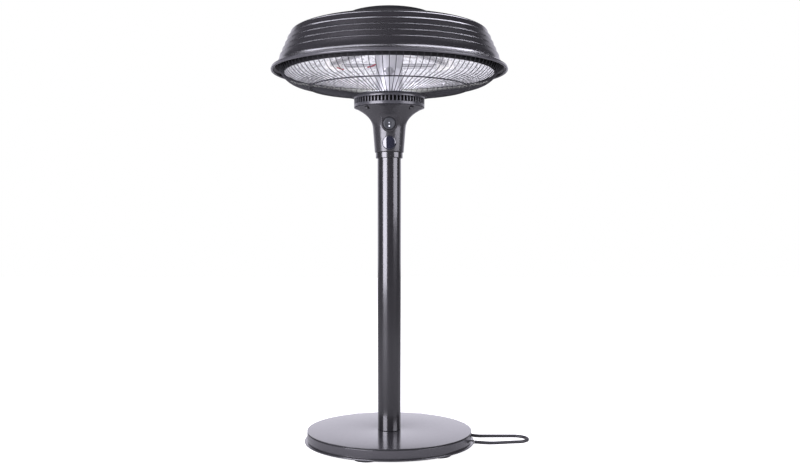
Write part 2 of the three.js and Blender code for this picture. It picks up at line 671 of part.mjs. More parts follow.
// ---------------------------------------------------------------- controls
/** The push button: a disc with a recess for its spring and a plunger that reaches back to the switch. */
function powerButton() {
  const face = frontHole(BUTTON_R, BUTTON_Z, BUTTON_BACK, BUTTON_FRONT);
  const recess = frontHole(SPRING_R + SPRING_WIRE_R + 2 * SEAT, BUTTON_Z, BUTTON_BACK - 1, RECESS_FLOOR);
  const plunger = frontHole(PLUNGER_R, BUTTON_Z, SWITCH_FRONT + BUTTON_TRAVEL + SEAT, RECESS_FLOOR + 0.5);
  const lightBack = BUTTON_FRONT - LIGHT_DEPTH - SEAT;
  const lights = [POWER_LIGHT_RISE, HEAT_LIGHT_RISE].map((rise) =>
    frontHole(LIGHT_R + SEAT, BUTTON_Z + rise, lightBack, BUTTON_FRONT + 1),
  );
  return face.subtract(recess).add(plunger).subtract(joined(lights));
}

/** A light window in the button's face, at a height above its middle. */
function buttonLight(rise) {
  return barBetween(
    LIGHT_R,
    new THREE.Vector3(0, -BUTTON_FRONT + LIGHT_DEPTH, BUTTON_Z + rise),
    new THREE.Vector3(0, -BUTTON_FRONT, BUTTON_Z + rise),
    12,
  );
}

/** The coil spring round the plunger, between the well's floor and the button's recess. */
function buttonSpring() {
  const from = WELL_FLOOR + SPRING_WIRE_R + SEAT / 2;
  const to = RECESS_FLOOR - SPRING_WIRE_R - SEAT / 2;
  const steps = SPRING_TURNS * 10;
  const points = Array.from({ length: steps + 1 }, (_, i) => {
    const a = (2 * Math.PI * SPRING_TURNS * i) / steps;
    return [SPRING_R * Math.cos(a), -(from + ((to - from) * i) / steps), BUTTON_Z + SPRING_R * Math.sin(a)];
  });
  return tubeThrough(points, SPRING_WIRE_R, 4);
}

/** The dark window over the remote control's receiver, flush with the neck's round surface. */
function receiverLens() {
  return frontHole(LENS_R, LENS_Z, NECK_FOOT_R - LENS_DEPTH, PAD_FRONT).intersect(neckEnvelope());
}

/** The neck's inner radius across its flats, at a height above its foot. */
const neckBore = (height) => (neckRadius(height) - NECK_WALL) * FACET_SHRINK;
const INSIDE_FOOT_Z = NECK_FOOT_Z + NECK_FLOOR_THICK + SEAT;
const BOARD_HALF_WIDTH = Math.sqrt((neckBore(NECK_FLOOR_THICK) - SEAT) ** 2 - BOARD_FRONT ** 2);

/** The printed circuit board with its relay, capacitor and receiver eye soldered on. */
function controlBoard() {
  const board = block(
    [-BOARD_HALF_WIDTH, -BOARD_FRONT, INSIDE_FOOT_Z],
    [BOARD_HALF_WIDTH, -BOARD_BACK, INSIDE_FOOT_Z + BOARD_HEIGHT],
  );
  const relayFoot = INSIDE_FOOT_Z + BOARD_HEIGHT - RELAY_HEIGHT - 4;
  const relay = block(
    [-RELAY_WIDTH / 2, -BOARD_BACK - 0.5, relayFoot],
    [RELAY_WIDTH / 2, -BOARD_BACK + RELAY_DEPTH, relayFoot + RELAY_HEIGHT],
  );
  const capacitorX = BOARD_HALF_WIDTH - CAPACITOR_R - 1;
  const capacitor = barBetween(
    CAPACITOR_R,
    new THREE.Vector3(capacitorX, -BOARD_BACK - 0.5, relayFoot + RELAY_HEIGHT / 2),
    new THREE.Vector3(capacitorX, -BOARD_BACK + RELAY_DEPTH, relayFoot + RELAY_HEIGHT / 2),
    12,
  );
  const half = EYE_SIZE / 2;
  const eye = block([-half, -BOARD_FRONT - half, LENS_Z - half], [half, -BOARD_FRONT + 0.5, LENS_Z + half]);
  return joined([board, relay, capacitor, eye]);
}

/** The switch that the button's plunger presses. */
function buttonSwitch() {
  const half = SWITCH_SIZE / 2;
  return block([-half, -SWITCH_FRONT, BUTTON_Z - half], [half, -BOARD_FRONT - SEAT, BUTTON_Z + half]);
}

piece("power_button", powerButton(), greyPlastic);
piece("power_light", buttonLight(POWER_LIGHT_RISE), clearLens);
piece("heat_light", buttonLight(HEAT_LIGHT_RISE), clearLens);
piece("button_spring", buttonSpring(), zinc);
piece("receiver_lens", receiverLens(), darkLens);
piece("control_board", controlBoard(), circuitGreen);
piece("button_switch", buttonSwitch(), blackPlastic);

// ---------------------------------------------------------------- tilt switch and terminals
const TILT_TOP_Z = INSIDE_FOOT_Z + TILT_CASE_HEIGHT;
const TILT_FRONT_Y = -BOARD_BACK + SEAT;
const TILT_BACK_Y = TILT_FRONT_Y + TILT_CASE_DEPTH;
const TILT_MIDDLE_Y = (TILT_FRONT_Y + TILT_BACK_Y) / 2;
const TILT_PIN_Z = TILT_TOP_Z - TILT_WALL - TILT_EYE_R - SEAT;

/** A bar through the tilt switch's middle, along Y. */
function tiltBar(r, z, length) {
  const end = (side) => new THREE.Vector3(0, TILT_MIDDLE_Y + (side * length) / 2, z);
  return barBetween(r, end(-1), end(1), 12);
}

/** The tilt switch's case, open below, with the pin that the pendulum hangs on. */
function tiltCase() {
  const half = TILT_CASE_WIDTH / 2;
  const outside = block([-half, TILT_FRONT_Y, INSIDE_FOOT_Z], [half, TILT_BACK_Y, TILT_TOP_Z]);
  const inside = block(
    [-half + TILT_WALL, TILT_FRONT_Y + TILT_WALL, INSIDE_FOOT_Z - 1],
    [half - TILT_WALL, TILT_BACK_Y - TILT_WALL, TILT_TOP_Z - TILT_WALL],
  );
  return outside.subtract(inside).add(tiltBar(TILT_PIN_R, TILT_PIN_Z, TILT_CASE_DEPTH - TILT_WALL));
}

/** The pendulum: an eye round the pin, an arm and a bob. */
function tiltPendulum() {
  const bobZ = TILT_PIN_Z - TILT_ARM_LENGTH;
  const arm = block([-1, TILT_MIDDLE_Y - 1, bobZ], [1, TILT_MIDDLE_Y + 1, TILT_PIN_Z - TILT_PIN_R - SEAT]);
  const eye = tiltBar(TILT_EYE_R, TILT_PIN_Z, TILT_EYE_LENGTH);
  const bob = tiltBar(TILT_BOB_R, bobZ, 2 * TILT_BOB_R);
  const solids = [eye, arm, bob];
  return joined(solids).subtract(tiltBar(TILT_PIN_R + SEAT, TILT_PIN_Z, TILT_EYE_LENGTH + 1));
}

const TERMINAL_FOOT_Z = TILT_TOP_Z + TERMINAL_RISE;
const TERMINAL_REACH = neckBore(TERMINAL_FOOT_Z - NECK_FOOT_Z) - SEAT;
const TERMINAL_BACK_Y = Math.sqrt(TERMINAL_REACH ** 2 - (TERMINAL_WIDTH / 2) ** 2);
const TERMINAL_FRONT_Y = TERMINAL_BACK_Y - TERMINAL_DEPTH;

/** The terminal block on the neck's rear wall, where the mains lead ends. */
function terminalBlock() {
  const half = TERMINAL_WIDTH / 2;
  const top = TERMINAL_FOOT_Z + TERMINAL_HEIGHT;
  const body = block([-half, TERMINAL_FRONT_Y, TERMINAL_FOOT_Z], [half, TERMINAL_BACK_Y, top]);
  const wells = [-1, 0, 1].map((i) => {
    const x = (i * TERMINAL_WIDTH) / 3;
    return bar(2, top - 3, top + 1, x, (TERMINAL_FRONT_Y + TERMINAL_BACK_Y) / 2, 8);
  });
  return body.subtract(joined(wells));
}

/** The part of the lead inside the heater: along the base's groove, up the pole and to the terminals. */
function innerLead() {
  const bend = INNER_LEAD_BEND_R;
  const along = ([reach, z]) => at(exitAngle, reach, z).toArray();
  const bendSteps = 6;
  const bendPoints = Array.from({ length: bendSteps + 1 }, (_, i) => {
    const turned = (Math.PI / 2) * (i / bendSteps);
    return [bend - bend * Math.sin(turned), GLAND_Z + bend - bend * Math.cos(turned)];
  });
  const base = [[GLAND_INNER_R - SEAT, GLAND_Z], ...bendPoints].map(along);
  const end = [0, (TERMINAL_FRONT_Y + TERMINAL_BACK_Y) / 2, TERMINAL_FOOT_Z - SEAT];
  const shares = [[0, 0.15], [0.1, 0.35], [0.4, 0.55], [0.75, 0.72], [1, 0.88], [1, 1]];
  const neck = shares.map(([across, up]) => [0, end[1] * across, NECK_FOOT_Z + (end[2] - NECK_FOOT_Z) * up]);
  return tubeThrough([...base, ...neck], INNER_LEAD_R, 6);
}

piece("tilt_case", tiltCase(), blackPlastic);
piece("tilt_pendulum", tiltPendulum(), castIron);
piece("terminal_block", terminalBlock(), ceramic);
piece("inner_lead", innerLead(), blackPlastic);

// ---------------------------------------------------------------- vent ring and head floor
function ventRing() {
  const inner = VENT_R - VENT_WALL;
  const floorInner = NECK_SCREW_CIRCLE_R - NECK_SCREW_HEAD_R;
  const lipFoot = VENT_TOP_Z - VENT_LIP_THICK;
  const body = turned([
    [floorInner, VENT_FOOT_Z],
    [VENT_R, VENT_FOOT_Z],
    [VENT_R, lipFoot],
    [VENT_R + VENT_LIP, lipFoot],
    [VENT_R + VENT_LIP, VENT_TOP_Z],
    [inner, VENT_TOP_Z],
    [inner, VENT_FOOT_Z + VENT_FLOOR_THICK],
    [floorInner, VENT_FOOT_Z + VENT_FLOOR_THICK],
    [floorInner, VENT_FOOT_Z],
  ], SLOT_COUNT);
  const foot = VENT_FOOT_Z + SLOT_FOOT;
  const slot = block([inner - 1, -SLOT_WIDTH / 2, foot], [VENT_R + 1, SLOT_WIDTH / 2, foot + SLOT_HEIGHT]);
  const slots = around(SLOT_COUNT, Math.PI / SLOT_COUNT).map((a) => spun(slot, a));
  const tapTop = VENT_FOOT_Z + NECK_SCREW_REACH + SEAT;
  const taps = neckScrewAzimuths.map((a) => screwPost(a, NECK_SCREW_R + SEAT, VENT_FOOT_Z - 1, tapTop));
  return body.subtract(joined([...slots, ...taps]));
}

/** The floor of the lamp head: a disc on the vent ring, with a brim over the guard's inner hoop. */
function headFloor() {
  const brim = VENT_R + HEAD_FLOOR_BRIM;
  const brimFoot = GUARD_INNER_Z + GUARD_HOOP_R + SEAT;
  const step = VENT_R - HEAD_FLOOR_THICK;
  return turned([
    [WIRING_HOLE_R, HEAD_FLOOR_Z],
    [VENT_R, HEAD_FLOOR_Z],
    [VENT_R, brimFoot],
    [brim, brimFoot],
    [brim, brimFoot + HEAD_FLOOR_THICK / 2],
    [step, brimFoot + HEAD_FLOOR_THICK / 2],
    [step, HEAD_FLOOR_TOP_Z],
    [WIRING_HOLE_R, HEAD_FLOOR_TOP_Z],
    [WIRING_HOLE_R, HEAD_FLOOR_Z],
  ]);
}

const lampAzimuths = around(LAMP_COUNT, Math.PI / 2);
const cornerAzimuths = lampAzimuths.map((a) => a + HALF_CORNER);
const LEAD_Z = LAMP_Z + HOLDER_SIZE / 2 + LAMP_LEAD_RISE;

/** The bright column that carries the lamp head and hides its wiring, with a hole for each lamp lead. */
function centralColumn() {
  const inner = COLUMN_R - COLUMN_WALL;
  const bore = STUD_R + SEAT;
  const body = turned([
    [inner, COLUMN_FOOT_Z],
    [COLUMN_R + COLUMN_FLANGE, COLUMN_FOOT_Z],
    [COLUMN_R + COLUMN_FLANGE, COLUMN_FOOT_Z + COLUMN_WALL],
    [COLUMN_R, COLUMN_FOOT_Z + COLUMN_WALL],
    [COLUMN_R, COLUMN_TOP_Z],
    [bore, COLUMN_TOP_Z],
    [bore, COLUMN_TOP_Z - COLUMN_HEAD_THICK],
    [inner, COLUMN_TOP_Z - COLUMN_HEAD_THICK],
    [inner, COLUMN_FOOT_Z],
  ], MEDIUM_ROUND);
  const holes = cornerAzimuths.map((a) =>
    barBetween(LAMP_LEAD_R + SEAT, at(a, inner - 2, LEAD_Z), at(a, COLUMN_R + 2, LEAD_Z), 8),
  );
  return body.subtract(joined(holes));
}

/** The thermal cut-out on the column's front, with its two fixing tabs. */
function thermalCutout() {
  const z = RIM_Z - CUTOUT_DROP;
  const disc = frontHole(CUTOUT_R, z, COLUMN_R + SEAT, COLUMN_R + SEAT + CUTOUT_THICK);
  const tabs = block([-CUTOUT_R - 3, -COLUMN_R - 2, z - 2], [CUTOUT_R + 3, -COLUMN_R - 1, z + 2]);
  return disc.add(tabs);
}

piece("vent_ring", ventRing(), blackPlastic);
piece("head_floor", headFloor(), zinc);
piece("central_column", centralColumn(), brightAluminium);
piece("thermal_cutout", thermalCutout(), blackPlastic);

// ---------------------------------------------------------------- reflector, canopy and cap
/** The reflector's outline from its rim to the edge of its flat crown, drawn in by a thickness. */
function reflectorCurve(inset) {
  const steps = 5;
  return Array.from({ length: steps + 1 }, (_, i) => {
    const a = (Math.PI * i) / (2 * steps);
    const reach = (REFLECTOR_R - REFLECTOR_CROWN_R - inset) * Math.cos(a);
    return [REFLECTOR_CROWN_R + reach, REFLECTOR_RIM_Z + (REFLECTOR_DEPTH - inset) * Math.sin(a)];
  });
}

function reflector() {
  const hole = STUD_R + SEAT;
  const outer = [...reflectorCurve(0), [hole, REFLECTOR_TOP_Z]];
  const inner = [[hole, REFLECTOR_TOP_Z - REFLECTOR_WALL], ...reflectorCurve(REFLECTOR_WALL).reverse()];
  return turned([...outer, ...inner, outer[0]]);
}

/** The crown's outline from the shoulder to the cap, drawn in by a thickness, above the canopy's rim. */
function crownCurve(inset) {
  return [0, 0.08, 0.27, 0.6, 1].map((share) => [
    SHOULDER_R - share * (SHOULDER_R - CROWN_FLAT_R) - inset,
    SHOULDER_HEIGHT + (CROWN_RISE - inset) * share ** CROWN_POWER,
  ]);
}

function canopy() {
  const hole = STUD_R + SEAT;
  const rim = [
    [RIM_INNER_R, 0],
    [RIM_R, 0],
    [RIM_R, RIM_EDGE],
    ...[[0.47, 0.33], [0.8, 0.67]].map(([inward, up]) => [
      RIM_R - FLARE_STEP * inward,
      RIM_EDGE + (FLARE_HEIGHT - RIM_EDGE) * up,
    ]),
    [FLARE_R, FLARE_HEIGHT],
  ];
  const ribs = [];
  for (let i = 0; i < RIB_COUNT; i++) {
    const r = FIRST_CORNER_R - i * (RIB_SLOPE + RIB_LEDGE);
    const height = RIB_FIRST + i * RIB_PITCH;
    ribs.push([r, height], [r - RIB_LEDGE, height + RIB_PITCH - RIB_FACE]);
  }
  const top = [[hole, CROWN_HEIGHT], [hole, CROWN_HEIGHT - CANOPY_WALL]];
  const inside = [
    ...crownCurve(CANOPY_WALL).reverse(),
    [FLARE_R - CANOPY_WALL, FLARE_HEIGHT],
    [RIM_INNER_R, RIM_EDGE - 1],
    rim[0],
  ];
  const outline = [...rim, ...ribs, ...crownCurve(0), ...top, ...inside];
  return turned(outline.map(([r, height]) => [r, RIM_Z + height]));
}

/** The post that ties the column, the reflector and the canopy together, with the nut on its lower end. */
function canopyPost() {
  const nutTop = COLUMN_TOP_Z - COLUMN_HEAD_THICK - SEAT;
  const nut = bar(POST_R, nutTop - POST_NUT_THICK, nutTop, 0, 0, 6);
  const stud = bar(STUD_R, nutTop - 1, CROWN_Z + SEAT + STUD_REACH);
  const spacer = bar(POST_R, REFLECTOR_TOP_Z + SEAT, CROWN_Z - CANOPY_WALL - SEAT);
  return joined([nut, stud, spacer]);
}

/** The domed cap over the crown, with the boss that screws onto the post. */
function topCap() {
  const foot = CROWN_Z + SEAT;
  const dome = (wall) => {
    const rise = CAP_RISE - CAP_EDGE - wall;
    return [1, 0.85, 0.6, 0.3, 0].map((share) => [
      (CAP_R - wall) * share,
      foot + CAP_EDGE + rise * (1 - share ** CAP_POWER),
    ]);
  };
  const outer = turned([[0, foot], [CAP_R, foot], ...dome(0)], MEDIUM_ROUND * 1.5);
  const hollow = turned([[0, foot - 1], [CAP_R - CAP_WALL, foot - 1], ...dome(CAP_WALL)], MEDIUM_ROUND * 1.5);
  const boss = bar(CAP_BOSS_R, foot, foot + CAP_RISE - CAP_WALL / 2);
  const bore = bar(STUD_R + SEAT, foot - 1, foot + STUD_REACH + SEAT);
  return outer.subtract(hollow).add(boss).subtract(bore);
}

piece("reflector", reflector(), brightAluminium);
piece("canopy", canopy(), charcoal);
piece("canopy_post", canopyPost(), zinc);
piece("top_cap", topCap(), charcoal);

// ---------------------------------------------------------------- lamps
/** A halogen tube along X, behind the axis, with its two pinched ends. */
function lamp() {
  const half = LAMP_LENGTH / 2;
  const body = half - LAMP_PINCH_LENGTH;
  const profile = [[0, -half], [LAMP_PINCH_R, -half], [LAMP_PINCH_R, -body], [LAMP_R, -body + 2]];
  const mirrored = profile.map(([r, z]) => [r, -z]).reverse();
  return turned([...profile, ...mirrored], 12).rotate([0, 90, 0]).translate([0, LAMP_OFFSET, LAMP_Z]);
}

/** A ceramic lamp holder on its bracket, at one end of the rear lamp; side is -1 or 1. */
function lampHolder(side) {
  const half = HOLDER_SIZE / 2;
  const inner = HOLDER_END - HOLDER_LENGTH;
  const middle = HOLDER_END - HOLDER_LENGTH / 2;
  const along = (from, to) => [Math.min(side * from, side * to), Math.max(side * from, side * to)];
  const [low, high] = along(inner, HOLDER_END);
  const body = block([low, LAMP_OFFSET - half, LAMP_Z - half], [high, LAMP_OFFSET + half, LAMP_Z + half]);
  const [legLow, legHigh] = along(middle - BRACKET_WIDTH / 2, middle + BRACKET_WIDTH / 2);
  const leg = block(
    [legLow, LAMP_OFFSET - BRACKET_THICK / 2, LAMP_Z],
    [legHigh, LAMP_OFFSET + BRACKET_THICK / 2, REFLECTOR_TOP_Z],
  );
  const roof = reflectorCurve(REFLECTOR_WALL).map(([r, z]) => [r - SEAT, z - SEAT]);
  const crown = roof[roof.length - 1][1];
  const foot = REFLECTOR_RIM_Z - HOLDER_SIZE;
  const space = turned([[0, foot], [roof[0][0], foot], ...roof, [0, crown]]);
  const bore = barBetween(
    LAMP_R + SEAT,
    new THREE.Vector3(side * (inner - 1), LAMP_OFFSET, LAMP_Z),
    new THREE.Vector3(side * (inner + HOLDER_OVERLAP + SEAT), LAMP_OFFSET, LAMP_Z),
    12,
  );
  return body.add(leg).intersect(space).subtract(bore);
}

/** The Y-shaped lead from the two holders beside a corner to the column, for the corner on the +X axis. */
function lampLead() {
  const corner = HALF_CORNER;
  const holderEnd = (side) => {
    const end = new THREE.Vector3(HOLDER_END + SEAT, LAMP_OFFSET, LAMP_Z);
    end.applyAxisAngle(new THREE.Vector3(0, 0, 1), corner - Math.PI / 2);
    return new THREE.Vector3(end.x, side * end.y, end.z);
  };
  const out = (side, reach) => at(side * (corner - Math.PI / 2), reach, 0);
  const meet = new THREE.Vector3(holderEnd(1).x + 6, 0, LEAD_Z);
  const branch = (side) => {
    const start = holderEnd(side);
    const first = start.clone().add(out(side, 3));
    const second = start.clone().add(out(side, 7)).setZ((LAMP_Z + LEAD_Z) / 2);
    return tube([start, first, second, meet].map((p) => p.toArray()), LAMP_LEAD_R, 5, 6);
  };
  const trunkPoints = [
    meet.toArray(),
    [meet.x * 0.7, 0, LEAD_Z + 2],
    [COLUMN_R * 1.8, 0, LEAD_Z],
    [COLUMN_R - COLUMN_WALL, 0, LEAD_Z],
  ];
  const trunk = tube(trunkPoints, LAMP_LEAD_R, 5, 6);
  return joined([branch(1), branch(-1), trunk]);
}

lampAzimuths.forEach((a, i) => {
  const turn = a - Math.PI / 2;
  piece(`lamp_${i + 1}`, spun(lamp(), turn), quartz);
  piece(`lamp_holder_${2 * i + 1}`, spun(lampHolder(-1), turn), ceramic);
  piece(`lamp_holder_${2 * i + 2}`, spun(lampHolder(1), turn), ceramic);
});
cornerAzimuths.forEach((a, i) => piece(`lamp_lead_${i + 1}`, spun(lampLead(), a), redSilicone));

// ---------------------------------------------------------------- guard
/** The wire guard: straight wires that curve up inside the canopy, welded to three hoops. */
function guard() {
  const cornerX = GUARD_TOP_R - GUARD_CORNER_R;
  const cornerZ = RIM_Z + GUARD_CORNER_RISE;
  const run = cornerX - GUARD_INNER_R;
  const rise = cornerZ - GUARD_INNER_Z;
  const slope = Math.atan2(rise, run) - Math.asin(GUARD_CORNER_R / Math.hypot(run, rise));
  const start = slope - Math.PI / 2;
  const end = Math.asin((GUARD_TOP_Z - cornerZ) / GUARD_CORNER_R);
  const steps = 4;
  const points = [[GUARD_INNER_R, 0, GUARD_INNER_Z]];
  for (let i = 0; i <= steps; i++) {
    const a = start + ((end - start) * i) / steps;
    points.push([cornerX + GUARD_CORNER_R * Math.cos(a), 0, cornerZ + GUARD_CORNER_R * Math.sin(a)]);
  }
  const wire = tubeThrough(points, GUARD_WIRE_R, 4);
  const wires = around(GUARD_WIRES, Math.PI / GUARD_WIRES).map((a) => spun(wire, a));
  const hoop = (r, z) => {
    const geometry = new THREE.TorusGeometry(r, GUARD_HOOP_R, 4, 2 * GUARD_WIRES);
    return solid(geometry.translate(0, 0, z));
  };
  const weld = GUARD_WELD * (GUARD_WIRE_R + GUARD_HOOP_R);
  const midZ = GUARD_INNER_Z + (GUARD_MID_R - GUARD_INNER_R) * Math.tan(slope) - weld / Math.cos(slope);
  const hoops = [hoop(GUARD_INNER_R, GUARD_INNER_Z), hoop(GUARD_MID_R, midZ), hoop(GUARD_TOP_R, GUARD_TOP_Z)];
  return joined([...hoops, ...wires]);
}

piece("guard", guard(), wireBlack);

// ---------------------------------------------------------------- mains lead
/** The strain relief under the base's lip, tapered towards the lead. */
function cordGland() {
  const geometry = new THREE.CylinderGeometry(GLAND_R, CORD_R + 0.7, GLAND_LENGTH, SMALL_ROUND);
  const middle = at(exitAngle, GLAND_INNER_R + GLAND_LENGTH / 2, GLAND_Z);
  return solid(geometry.rotateZ(Math.PI / 2).rotateZ(exitAngle).translate(...middle.toArray()));
}

const LIP_R = BASE_R + BASE_LIP_REACH;
const FLOOR_Z = CORD_R + 0.2;
const HANK_HALF = HANK_BEND_R + HANK_STRANDS_WIDE * CORD_R;
const HANK_TOP_Z = 0.2 + 2 * CORD_R * HANK_STRANDS_HIGH;
const HANK_Y = LIP_R + HANK_GAP + HANK_HALF;

/** The lead on the ground: out from the gland, back round a wide bend, past the base, to the hank. */
function cordTube() {
  const exit = at(exitAngle, GLAND_END_R + SEAT, GLAND_Z);
  const follow = LIP_R + CORD_CLEAR;
  const turnX = exit.x + CORD_REACH;
  const turnY = exit.y + 8.4;
  const bend = CORD_BEND_R;
  const backY = turnY + 2 * bend;
  const centreY = backY + bend;
  const centreX = Math.sqrt((follow + bend) ** 2 - centreY ** 2);
  const meetDeg = THREE.MathUtils.radToDeg(Math.atan2(centreY, centreX));
  const strand = HANK_HALF - CORD_R;
  const hankX = HANK_RUN / 2;
  const reach = Math.hypot(hankX, HANK_Y);
  const leaveAngle = Math.atan2(HANK_Y, hankX) - Math.acos((follow - strand) / reach);
  const leaveDeg = THREE.MathUtils.radToDeg(leaveAngle);
  const ahead = rad(leaveDeg + 90);
  const leave = arcPoints(0, 0, follow, leaveDeg, leaveDeg, FLOOR_Z, 1)[0];
  const straight = Math.sqrt(reach ** 2 - (follow - strand) ** 2);
  const stop = straight - Math.sqrt((HANK_HALF + SEAT) ** 2 - (strand - CORD_R) ** 2) - 0.1;
  const last = [leave[0] + stop * Math.cos(ahead), leave[1] + stop * Math.sin(ahead), FLOOR_Z];
  const settle = [
    [0, 0, GLAND_Z], [0.1, -1, GLAND_Z - 0.4],
    [0.2, -1.6, (GLAND_Z + FLOOR_Z) / 2], [0.35, -1.8, FLOOR_Z + 0.2],
    [0.5, -0.6, FLOOR_Z], [0.65, 2.2, FLOOR_Z], [0.8, 5.4, FLOOR_Z], [0.92, 7.6, FLOOR_Z],
  ].map(([share, y, z]) => [exit.x + CORD_REACH * share, exit.y + y, z]);
  return tubeThrough([
    ...settle,
    ...arcPoints(turnX, turnY + bend, bend, -90, 90, FLOOR_Z, 12),
    ...between([turnX, backY, FLOOR_Z], [centreX, backY, FLOOR_Z], 3),
    ...arcPoints(centreX, centreY, bend, -90, meetDeg - 180, FLOOR_Z, 5),
    ...arcPoints(0, 0, follow, meetDeg, leaveDeg, FLOOR_Z, 3).slice(1),
    ...between(leave, last, 6),
    last,
  ], CORD_R, 8);
}

/** The rest of the lead, laid in flat loops behind the base: one block with round ends. */
function cordHank() {
  const loop = (r, Path) => {
    const shape = new Path();
    shape.absarc(HANK_RUN / 2, HANK_Y, r, -Math.PI / 2, Math.PI / 2);
    shape.absarc(-HANK_RUN / 2, HANK_Y, r, Math.PI / 2, 1.5 * Math.PI);
    return shape;
  };
  const shape = loop(HANK_HALF, THREE.Shape);
  shape.holes.push(loop(HANK_BEND_R - HANK_STRANDS_WIDE * CORD_R, THREE.Path));
  return pulled(shape, 0.2, HANK_TOP_Z, 12);
}

/** The lead's other end, which leaves the hank's inside, crosses over it and enters the plug. */
function cordEnd() {
  const far = HANK_Y + HANK_HALF;
  const near = HANK_Y - (HANK_BEND_R - HANK_STRANDS_WIDE * CORD_R);
  const over = HANK_TOP_Z + CORD_R + SEAT;
  return tubeThrough([
    [-5.8, near + 2.1, 11],
    [-1.8, near + 9.5, 12.4],
    [0, near + 20, over - 2.2],
    [0, far - 17, over],
    [0, far - 7, over],
    [0, far + 3, over],
    [0, far + 12, over - 2.8],
    [0, far + 21, PLUG_Z + 1],
    [0, PLUG_Y - 5, PLUG_Z],
    [0, PLUG_Y - SEAT, PLUG_Z],
  ], CORD_R, 8);
}

const PLUG_Y = HANK_Y + HANK_HALF + PLUG_GAP;
const PLUG_FOOT_Z = 1;
const PLUG_Z = PLUG_FOOT_Z + PLUG_THICK / 2;

/** A three-pin plug lying on its back, its pins up and its boot towards the lead. */
function plug() {
  const bodyY = PLUG_Y + PLUG_BOOT_LENGTH;
  const half = PLUG_WIDTH / 2;
  const corner = 8;
  const shape = new THREE.Shape();
  shape.absarc(half - corner, bodyY + corner, corner, -Math.PI / 2, 0);
  shape.absarc(half - corner, bodyY + PLUG_LENGTH - corner, corner, 0, Math.PI / 2);
  shape.absarc(-half + corner, bodyY + PLUG_LENGTH - corner, corner, Math.PI / 2, Math.PI);
  shape.absarc(-half + corner, bodyY + corner, corner, Math.PI, 1.5 * Math.PI);
  const body = pulled(shape, PLUG_FOOT_Z, PLUG_FOOT_Z + PLUG_THICK, 4);
  const geometry = new THREE.CylinderGeometry(PLUG_BOOT_R, CORD_R + 0.8, PLUG_BOOT_LENGTH + 1, SMALL_ROUND);
  const boot = solid(geometry.translate(0, PLUG_Y + (PLUG_BOOT_LENGTH + 1) / 2, PLUG_Z));
  const pin = (x, y, width, depth, length) => {
    const top = PLUG_FOOT_Z + PLUG_THICK + length;
    return block([x - width / 2, y - depth / 2, PLUG_Z], [x + width / 2, y + depth / 2, top]);
  };
  const pins = [
    pin(-11, bodyY + 15, 6.4, 4, PIN_LENGTH),
    pin(11, bodyY + 15, 6.4, 4, PIN_LENGTH),
    pin(0, bodyY + 37, 4, 8, PIN_LENGTH + 4),
  ];
  return joined([body, boot, ...pins]);
}

piece("cord_gland", cordGland(), rubber);
piece("cord", cordTube(), rubber);
piece("cord_hank", cordHank(), rubber);
piece("cord_end", cordEnd(), rubber);
piece("plug", plug(), blackPlastic);

export default heater;
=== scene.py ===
# %% [markdown]
# # A halogen patio heater
#
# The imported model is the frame: it holds every piece at its real size. This script gives the heater its
# looks. Each cell makes one group of pieces, and the note before it says what the cell is for and why it is
# made that way. Lengths are written in millimetres and turned into metres as the meshes are made.

# %% Imports and the frame
import math

import bmesh
import bpy
from mathutils import Matrix, Vector


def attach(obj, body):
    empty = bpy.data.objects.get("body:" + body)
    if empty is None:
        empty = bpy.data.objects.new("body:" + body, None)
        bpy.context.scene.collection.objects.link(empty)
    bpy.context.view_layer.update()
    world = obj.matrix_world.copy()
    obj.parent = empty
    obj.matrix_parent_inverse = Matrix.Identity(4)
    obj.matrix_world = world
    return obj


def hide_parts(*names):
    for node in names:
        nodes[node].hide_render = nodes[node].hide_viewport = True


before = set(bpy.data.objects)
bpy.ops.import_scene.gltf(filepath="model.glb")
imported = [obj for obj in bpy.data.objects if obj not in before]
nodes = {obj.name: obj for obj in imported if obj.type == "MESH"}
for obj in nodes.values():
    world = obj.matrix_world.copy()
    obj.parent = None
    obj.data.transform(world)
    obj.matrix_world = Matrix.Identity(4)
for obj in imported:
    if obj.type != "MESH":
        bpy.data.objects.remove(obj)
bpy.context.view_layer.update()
scene = bpy.context.scene
MM = 0.001
TURN = 2 * math.pi
print("The frame holds", len(nodes), "nodes")

# %% [markdown]
# ## Sizes shared with the frame
#
# These are the places that the pieces have to meet. They repeat the frame's own values, upwards from the
# ground.

# %% Sizes shared with the frame
BASE_R, BASE_TOP, LIP_R, LIP_FOOT, LIP_TOP = 180, 30, 185.6, 5, 8
POLE_R, POLE_FOOT, POLE_TOP = 25, 30.3, 629.3
NECK_FOOT, NECK_HEIGHT, NECK_FOOT_R, NECK_WALL = 629.6, 93, 30.7, 2.5
BUTTON_Z, BUTTON_R, BUTTON_FRONT, BUTTON_BACK, WELL_FLOOR = 686.6, 12.2, 40.7, 35.7, 33.9
PAD_FRONT, PAD_HALF = 39.5, 17.5
LENS_Z, LENS_R, LENS_BACK = 647.6, 14.3, 24.7
VENT_R, VENT_FOOT, VENT_TOP = 74.5, 722.9, 744.9
RIM_Z, RIM_R, FLARE_FOOT, FLARE_STEP = 797, 248.5, 5.2, 19.3
RIB_FIRST, RIB_PITCH, RIB_IN, RIB_LEDGE, RIB_LEDGE_RISE = 29.5, 12, 5.5, 3.7, 2.8
SHOULDER_R, SHOULDER_Z, CROWN_Z, CAP_R = 206, 873.5, 904.5, 88
REFLECTOR_RIM, REFLECTOR_R, REFLECTOR_CROWN, REFLECTOR_DEPTH = 792.5, 219.5, 120, 62
COLUMN_FOOT, COLUMN_TOP, COLUMN_R, CUTOUT_Z = 747.5, 853.2, 28, 794
LAMP_Z, LAMP_OFFSET, LAMP_HALF, HOLDER_END = 822.5, 81.98, 112, 126
GUARD_INNER_R, GUARD_INNER_Z, GUARD_MID_R, GUARD_TOP_R, GUARD_TOP_Z = 77.5, 745.4, 169, 234.1, 809.7
